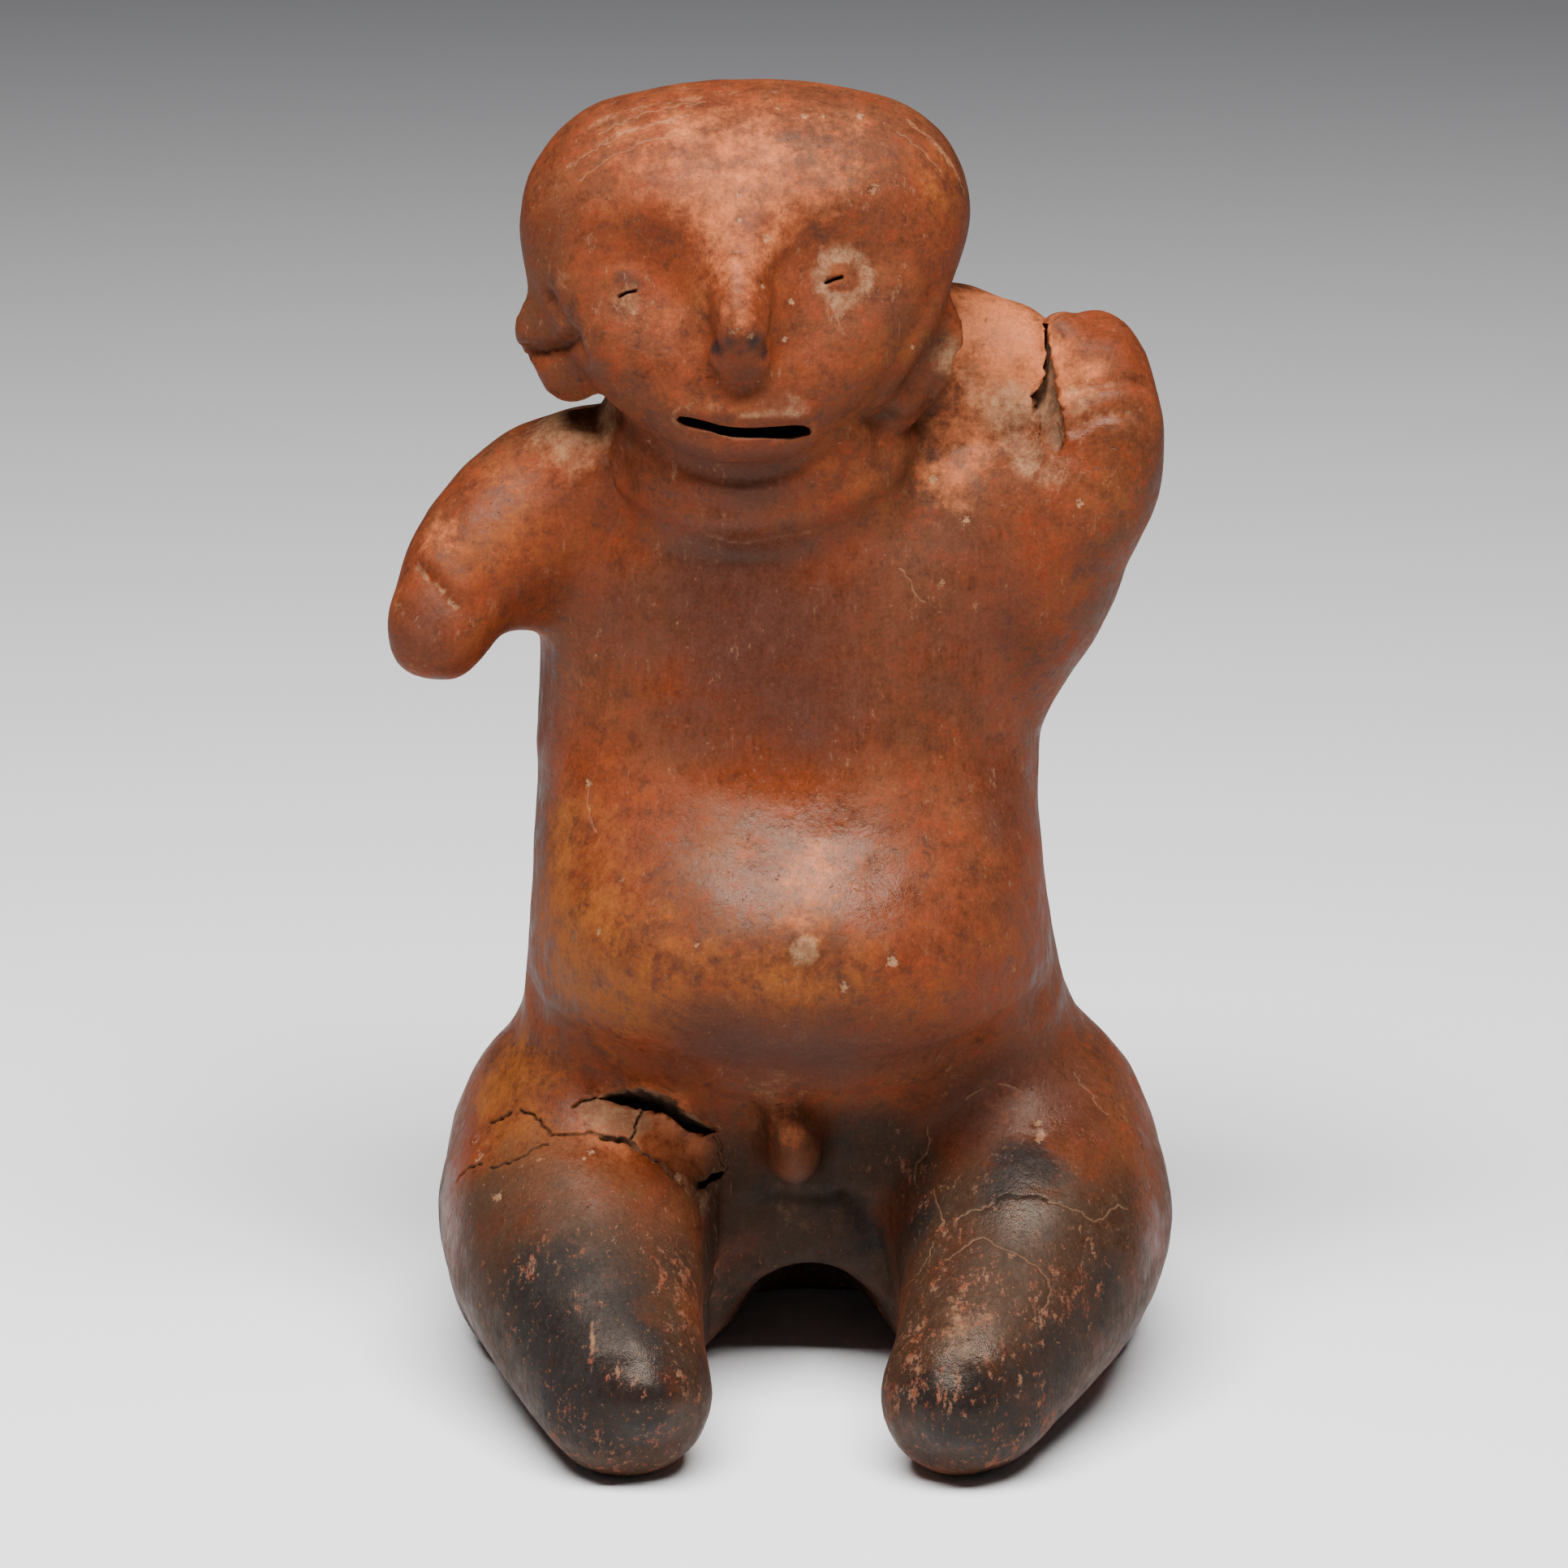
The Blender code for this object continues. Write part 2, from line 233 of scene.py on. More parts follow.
# Face: brow arcs, nose, eyes, lips, and the jaw's edge over the neck
FACE_LINES = [
    ([(735, 262), (790, 256), (838, 274)], 9.0, -0.3),
    ([(784, 298), (820, 318), (842, 350), (858, 388)], 9.0, 0.5),
    ([(1020, 296), (988, 318), (972, 350)], 8.0, 0.4),
    ([(850, 325), (856, 365), (858, 405)], 6.5, -0.9),
    ([(966, 330), (958, 365), (955, 400), (960, 430)], 4.5, 1.1),
    ([(870, 408), (868, 432), (874, 452), (888, 472), (910, 482), (933, 478), (950, 462), (957, 440)],
     3.2, 1.5),
    ([(833, 501), (880, 508), (930, 511), (990, 510)], 3.0, -0.8),
    ([(840, 548), (890, 558), (950, 560), (994, 550)], 4.0, -0.8),
    ([(906, 330), (908, 365), (910, 400)], 4.5, -1.1),
    ([(738, 496), (757, 532), (795, 565), (845, 589), (900, 599), (945, 601), (990, 592), (1030, 572),
      (1062, 541), (1085, 520)], 1.8, 0.6),
    ([(780, 540), (815, 562), (860, 578), (915, 585), (975, 578), (1020, 560), (1050, 538)], 7.5, -3.2),
    ([(950, 340), (944, 375), (942, 398)], 3.4, 0.7),
    ([(1158, 368), (1138, 410), (1108, 455), (1080, 492)], 6.0, -1.9),
]
FACE_SPOTS = [
    (911, 449, 8.5, -3.6),
    (911, 430, 6.5, -2.8),
    (884, 440, 5.5, -2.2),
    (940, 441, 5.5, -2.0),
    (890, 416, 3.0, -0.8),
    (938, 416, 3.0, -0.7),
    (773, 350, 5.2, -0.9),
    (1037, 343, 5.6, -1.0),
    (1047, 352, 2.6, -0.5),
    (1020, 334, 2.4, -0.3),
    (675, 364, 2.8, 1.8),
]

# Neck: the edge of the added neck coil, a step rather than a groove
NECK_LINES = [
    ([(800, 572), (850, 588), (915, 594), (975, 588), (1020, 572)], 5.0, -2.2),
    ([(762, 572), (800, 596), (850, 612), (915, 620), (985, 612), (1045, 588), (1085, 560)], 9.0, -2.2),
    ([(765, 600), (800, 622), (850, 638), (915, 645), (985, 638), (1040, 620), (1088, 594)], 11.0, -2.6),
    ([(757, 578), (800, 614), (840, 640), (905, 656), (960, 652), (1000, 644), (1050, 624)], 4.0, -0.3),
    ([(757, 588), (775, 603), (800, 628), (835, 650), (870, 664), (910, 670), (955, 664), (1000, 655),
      (1035, 642), (1060, 630)], 1.4, 0.4),
]

# Ears: the notch between the right ear's pellets and the hem of the left one's flap
EAR_LINES = [
    ([(648, 434), (668, 436), (690, 428), (708, 416)], 3.0, 2.8),
    ([(680, 366), (690, 385), (704, 408), (722, 440)], 2.2, 0.9),
    ([(1150, 362), (1166, 368)], 3.0, 1.2),
    ([(1088, 508), (1104, 518), (1123, 516), (1141, 500), (1154, 470)], 1.5, 0.7),
]

# Shoulder lump and the raised arm that grips it
SHOULDER_LINES = [
    ([(1166, 434), (1190, 460), (1225, 490), (1255, 525), (1270, 570)], 4.5, 1.5),
    ([(1308, 484), (1325, 481), (1343, 478), (1377, 472), (1412, 473)], 1.4, 1.1),
    ([(1322, 533), (1335, 521), (1363, 510), (1393, 509), (1434, 519)], 1.4, 1.1),
    ([(1322, 505), (1350, 496), (1385, 491), (1422, 496)], 4.6, -0.8),
    ([(1293, 402), (1300, 440), (1310, 490), (1316, 540)], 3.2, -1.2),
]
SHOULDER_SPOTS = [
    (1302, 403, 7.0, -3.0),
    (1352, 393, 9.0, 1.6),
    (716, 540, 15.0, -4.2),
    (1118, 545, 12.0, -3.0),
    (1236, 440, 14.0, 1.2),
    (1258, 480, 8.0, 1.8),
]

# Stump: one raised band round the end of the right arm
STUMP_LINES = [
    ([(493, 680), (515, 699), (535, 720), (560, 748)], 1.6, 1.3),
    ([(505, 668), (528, 685), (550, 705), (573, 728)], 4.0, -1.1),
    ([(470, 730), (490, 745), (512, 768)], 2.0, 0.6),
]

# Belly, navel and groin
BELLY_LINES = [
    ([(662, 1240), (720, 1272), (780, 1296)], 7.0, 0.5),
    ([(1160, 1296), (1230, 1255), (1296, 1216)], 6.0, 0.9),
    ([(800, 1312), (880, 1328), (960, 1336), (1060, 1330), (1140, 1308)], 9.0, -1.8),
    ([(964, 1172), (971, 1153), (990, 1145), (1009, 1153), (1017, 1172), (1009, 1191), (990, 1199),
      (971, 1191), (964, 1172)], 1.6, 0.45),
    ([(893, 1450), (892, 1500), (886, 1560), (880, 1600), (874, 1650)], 2.6, 0.9),
    ([(1046, 1472), (1066, 1490), (1078, 1530), (1092, 1580)], 3.4, 0.8),
    ([(958, 1362), (970, 1392), (980, 1420), (984, 1448)], 7.5, -1.8),
    ([(975, 1425), (984, 1455)], 3.0, -1.0),
    ([(965, 1466), (990, 1472), (1012, 1476), (1040, 1472)], 2.4, 0.9),
]
BELLY_SPOTS = [
    (990, 1172, 5.2, -0.9), (935, 1078, 9.0, 0.45), (1000, 1095, 6.0, 0.3), (1075, 1085, 6.0, 0.3),
]

# Feet: fuller over the toes
FOOT_SPOTS = [(1160, 1752, 12.0, -2.4), (803, 1735, 12.0, -2.4)]

# Cracks: half width, depth, marks
CRACKS = [
    (0.34, 1.4, [(640, 1367), (651, 1371), (666, 1380), (673, 1390), (678, 1399), (692, 1398), (707, 1397),
                 (725, 1395), (734, 1397), (745, 1402)]),
    (1.00, 2.6, [(743, 1401), (755, 1402), (768, 1403), (777, 1407), (784, 1413)]),
    (0.44, 1.7, [(782, 1411), (792, 1421), (807, 1430), (819, 1438), (833, 1452), (845, 1463),
                 (848, 1471)]),
    (0.34, 1.3, [(791, 1369), (786, 1378), (784, 1393), (780, 1400), (776, 1406)]),
    (0.32, 1.0, [(880, 1400), (886, 1408), (886, 1420), (889, 1431), (895, 1438), (891, 1446)]),
    (0.60, 1.5, [(603, 1384), (610, 1381), (619, 1378), (628, 1372)]),
    (0.32, 1.0, [(675, 1410), (657, 1415), (643, 1425), (631, 1430), (616, 1436), (603, 1438)]),
    (0.36, 1.2, [(593, 1434), (578, 1438), (569, 1447), (563, 1456)]),
    (0.36, 0.8, [(735, 1352), (716, 1357), (706, 1364)]),
    (0.40, 0.8, [(1226, 1481), (1234, 1475), (1247, 1474), (1263, 1475), (1279, 1474), (1290, 1479)]),
]

# Hairlines that soil has filled: half width, depth, marks
HAIRLINES = [
    (0.30, 0.3, [(1164, 1552), (1183, 1541), (1199, 1528), (1212, 1524), (1225, 1534), (1237, 1539),
                 (1253, 1545), (1266, 1555), (1279, 1561), (1288, 1572), (1295, 1588), (1292, 1604),
                 (1282, 1614)]),
    (0.30, 0.3, [(1164, 1505), (1159, 1493), (1153, 1480), (1151, 1464)]),
    (0.30, 0.3, [(1143, 1388), (1145, 1403), (1142, 1420), (1129, 1434), (1127, 1451), (1132, 1464)]),
    (0.30, 0.3, [(1323, 1321), (1330, 1335), (1343, 1346), (1352, 1362), (1365, 1373)]),
    (0.30, 0.3, [(1190, 1356), (1199, 1348), (1212, 1341)]),
    (0.30, 0.3, [(1231, 1336), (1244, 1338), (1260, 1345)]),
    (0.30, 0.3, [(1180, 1501), (1190, 1496), (1202, 1490), (1218, 1487), (1228, 1480)]),
    (0.30, 0.3, [(1288, 1478), (1298, 1482), (1314, 1486), (1327, 1491), (1336, 1498), (1349, 1505),
                 (1359, 1502), (1368, 1490), (1378, 1484), (1390, 1490)]),
    (0.32, 0.3, [(1403, 1400), (1409, 1425), (1416, 1452), (1418, 1475)]),
    (0.30, 0.3, [(728, 965), (724, 985), (729, 1010), (735, 1026)]),
    (0.30, 0.3, [(1108, 700), (1120, 712), (1127, 730), (1140, 742)]),
    (0.30, 0.2, [(702, 205), (730, 185), (765, 165), (810, 150), (850, 142)]),
    (0.30, 0.2, [(715, 222), (750, 195), (790, 176), (835, 166)]),
    (0.30, 0.2, [(738, 165), (775, 146), (820, 132), (870, 125)]),
    (0.30, 0.2, [(1120, 150), (1150, 172), (1175, 205), (1188, 240)]),
    (0.30, 0.2, [(1105, 162), (1135, 183), (1160, 212)]),
    (0.30, 0.3, [(880, 1508), (884, 1530), (878, 1556), (886, 1580)]),
    (0.30, 0.3, [(1108, 1590), (1126, 1576), (1140, 1556), (1150, 1530)]),
]

# Slits of the eyes: half width, depth, marks
SLITS = [
    (0.50, 1.3, [(763, 366), (772, 361), (783, 359)]),
    (0.60, 1.8, [(1018, 349), (1027, 345), (1037, 342)]),
]

# Seeds of the random numbers, so that the clay comes out alike each time
CRACK_SEED = 7
RIM_SEED = 5
PLUG_SEED = 11

# A crack turns every few picture columns and strays by a few; its colour reaches past its edges
CRACK_STEP = 6
CRACK_WANDER = 2.2
LINE_EDGE = 0.35

# The mesh is halved twice round cracks and chips, within these distances
REFINE_REACH = (2.4, 1.4)

# A chip's depth as a share of its radius, and how far its dent and its bare paste reach, in radii
CHIP_DEPTH = 0.3
CHIP_DENT_REACH = 1.3
CHIP_PASTE_REACH = 1.6

# Openings cut through the skin: outline, direction into the clay, depth, ragged edge, and how strongly
# painted shade darkens the inside.
# An edge more ragged than SMOOTH_EDGE strays between its marks too
SMOOTH_EDGE = 0.2

# How a plug narrows inwards: (share of its depth, share of its outline), after a straight part
# that stands out of the clay
PLUG_STANDS_OUT = -4.0
PLUG_TAPER = ((0.25, 0.97), (0.6, 0.9), (1.0, 0.7))
PLUG_OUTER_RAGGED = 0.4

# No wall of an opening is further than this from its middle
OPENING_REACH = 32

OPENINGS = {
    "mouth": (
        [(837, 513), (849, 514), (861, 517), (874, 520), (886, 524), (900, 526), (914, 527), (932, 527),
         (951, 526), (966, 525), (980, 524), (991, 525), (998, 528), (1000, 532), (998, 536), (988, 539),
         (976, 542), (957, 542), (939, 541), (920, 541), (902, 540), (887, 537), (873, 532), (859, 529),
         (845, 526), (836, 521), (833, 517)],
        (0.0, 1.0, -0.08), 12.0, 0.10, 1.0,
    ),
    "thigh_break": (
        [(735, 1353), (745, 1348), (763, 1342), (775, 1340), (792, 1337), (807, 1343), (822, 1350),
         (836, 1361), (851, 1371), (866, 1383), (879, 1389), (882, 1396), (868, 1399), (857, 1396),
         (842, 1389), (830, 1380), (816, 1371), (804, 1368), (789, 1366), (780, 1365), (766, 1362),
         (757, 1359), (745, 1355)],
        (0.1, 0.75, -0.55), 5.5, 0.25, 0.35,
    ),
    "thigh_hole": (
        [(853, 1459), (866, 1452), (877, 1446), (891, 1443), (889, 1450), (877, 1457), (866, 1464),
         (858, 1468)],
        (0.2, 0.9, -0.3), 7.0, 0.25, 1.0,
    ),
    "grip": (
        [(1284, 398), (1286, 420), (1288, 440), (1286, 460), (1280, 476), (1269, 490), (1271, 506),
         (1277, 520), (1281, 540), (1291, 555), (1304, 560), (1312, 547), (1313, 526), (1309, 505),
         (1303, 480), (1299, 455), (1295, 428), (1291, 398)],
        (0.05, 1.0, -0.15), 4.2, 0.30, 0.35,
    ),
}


def wandering(marks, random):
    """The marks with more of them between, each a little off the straight line, as a crack runs."""
    path = []
    for (column, row), (next_column, next_row) in zip(marks, marks[1:]):
        steps = max(1, round(math.hypot(next_column - column, next_row - row) / CRACK_STEP))
        for step in range(steps):
            share = step / steps
            off = random.uniform(-CRACK_WANDER, CRACK_WANDER, 2) if step else (0, 0)
            across = column + (next_column - column) * share + off[0]
            down = row + (next_row - row) * share + off[1]
            path.append((across, down))
    return path + [marks[-1]]


def refine(clay, places, reach):
    """Halves the mesh near the places."""
    near = KDTree(len(places))
    for index, place in enumerate(places):
        near.insert(place, index)
    near.balance()
    bm = bmesh.new()
    bm.from_mesh(clay.data)
    close = {v for v in bm.verts if near.find(v.co)[2] < reach * MM}
    edges = [e for e in bm.edges if e.verts[0] in close and e.verts[1] in close]
    bmesh.ops.subdivide_edges(bm, edges=edges, cuts=1, use_grid_fill=True)
    bm.to_mesh(clay.data)
    bm.free()


def crack_clay(clay, tree):
    """Cuts cracks, hairlines and chips into a finer mesh, and gives each point its nearness to them."""
    random = np.random.default_rng(CRACK_SEED)
    cracks = [(half, depth, path_of(tree, wandering(marks, random))) for half, depth, marks in CRACKS]
    cracks += [(half, depth, path_of(tree, marks)) for half, depth, marks in SLITS]
    hairlines = [
        (half, depth, path_of(tree, wandering(marks, random))) for half, depth, marks in HAIRLINES
    ]
    chips = [(radius, np.array(seen(tree, column, row))) for column, row, radius in CHIPS]
    places = [place for line in cracks + hairlines for place in line[2]]
    places += [place for radius, place in chips]
    for reach in REFINE_REACH:
        refine(clay, places, reach)
    points = vertex_values(clay, "co")
    normals = vertex_values(clay, "normal")
    push = np.zeros(len(points))
    for name, lines in (("crack", cracks), ("hairline", hairlines)):
        nearness = np.zeros(len(points))
        for half_width, depth, path in lines:
            distance = distance_to_path(points, path) / MM
            push = np.maximum(push, np.clip(1 - distance / half_width, 0, None) * depth)
            nearness = np.maximum(nearness, np.clip(1 - distance / (half_width + LINE_EDGE), 0, None))
        add_values(clay, name, nearness)
    near_chips = np.zeros(len(points))
    for radius, place in chips:
        distance = np.linalg.norm(points - place, axis=1) / MM
        dent = np.clip(CHIP_DENT_REACH - distance / radius, 0, 1) * radius * CHIP_DEPTH
        push = np.maximum(push, dent)
        near_chips = np.maximum(near_chips, np.clip(CHIP_PASTE_REACH - distance / radius, 0, 1))
    add_values(clay, "chip", near_chips)
    move_points(clay, points - push[:, None] * normals * MM)


def opening_cutter(name, tree, outline, direction, depth, ragged):
    """A plug with the opening's outline, which narrows a little on its way into the clay."""
    random = np.random.default_rng(PLUG_SEED)
    inward = Vector(direction).normalized()
    rim = [seen(tree, column, row) for column, row in outline]
    middle = sum(rim, Vector()) / len(rim)
    levels = [(PLUG_STANDS_OUT, 1.0), (0.0, 1.0)]
    levels += [(share * depth, width) for share, width in PLUG_TAPER]
    bm = bmesh.new()
    rings = []
    for level, width in levels:
        stray = ragged if level > 0 else ragged * PLUG_OUTER_RAGGED
        ring = []
        for place in rim:
            corner = middle + (place - middle) * width + inward * level * MM
            ring.append(bm.verts.new(corner + Vector(random.normal(0, stray * MM, 3))))
        rings.append(ring)
    count = len(rim)
    for low, high in zip(rings, rings[1:]):
        for i in range(count):
            j = (i + 1) % count
            bm.faces.new((low[i], low[j], high[j], high[i]))
    bm.faces.new(rings[0])
    bm.faces.new(rings[-1])
    bmesh.ops.triangulate(bm, faces=bm.faces)
    bmesh.ops.recalc_face_normals(bm, faces=bm.faces)
    mesh = bpy.data.meshes.new(name)
    bm.to_mesh(mesh)
    bm.free()
    cutter = bpy.data.objects.new(name, mesh)
    bpy.context.scene.collection.objects.link(cutter)
    return cutter


def cut_openings(clay, tree):
    random = np.random.default_rng(RIM_SEED)
    for name, (outline, direction, depth, ragged, _) in OPENINGS.items():
        if ragged > SMOOTH_EDGE:
            outline = wandering([*outline, outline[0]], random)[:-1]
        cutter = opening_cutter(name, tree, outline, direction, depth, ragged)
        cut = clay.modifiers.new(name, "BOOLEAN")
        cut.operation = "DIFFERENCE"
        cut.object = cutter
        apply_modifiers(clay)
        bpy.data.objects.remove(cutter)


# Surface of the clay: size and height of the shallow facets that burnishing left all over, and of
# the lumps in the rough places, which are given as (column, row, radius, strength)
FACETS = ((20.0, 0.50), (9.0, 0.30), (4.5, 0.08))
LUMPS = ((7.0, 0.30), (3.6, 0.22))
ROUGH_PLACES = [
    (1230, 510, 14, 1.0), (1250, 560, 10, 0.9), (1170, 600, 12, 0.6), (1240, 430, 14, 0.5),
    (960, 1420, 13, 0.8), (1040, 1460, 10, 0.7), (900, 1470, 8, 0.7), (740, 530, 9, 0.7),
    (1120, 1500, 9, 0.5), (690, 420, 9, 0.5), (810, 1780, 10, 0.6), (1110, 1760, 9, 0.6),
    (1310, 1600, 8, 0.5), (870, 1580, 9, 0.6), (560, 760, 9, 0.4),
]


def waves(points, sizes):
    lift = np.zeros(len(points))
    for size, height in sizes:
        scaled = points / (size * MM)
        lift += [height * noise.noise(point) for point in scaled]
    return lift


def burnish(clay, tree):
    points = vertex_values(clay, "co")
    normals = vertex_values(clay, "normal")
    lift = waves(points, FACETS) + tint(points, tree, ROUGH_PLACES, []) * waves(points, LUMPS)
    points += normals * lift[:, None] * MM
    points[:, 2] = np.clip(points[:, 2], 0, None)
    move_points(clay, points)
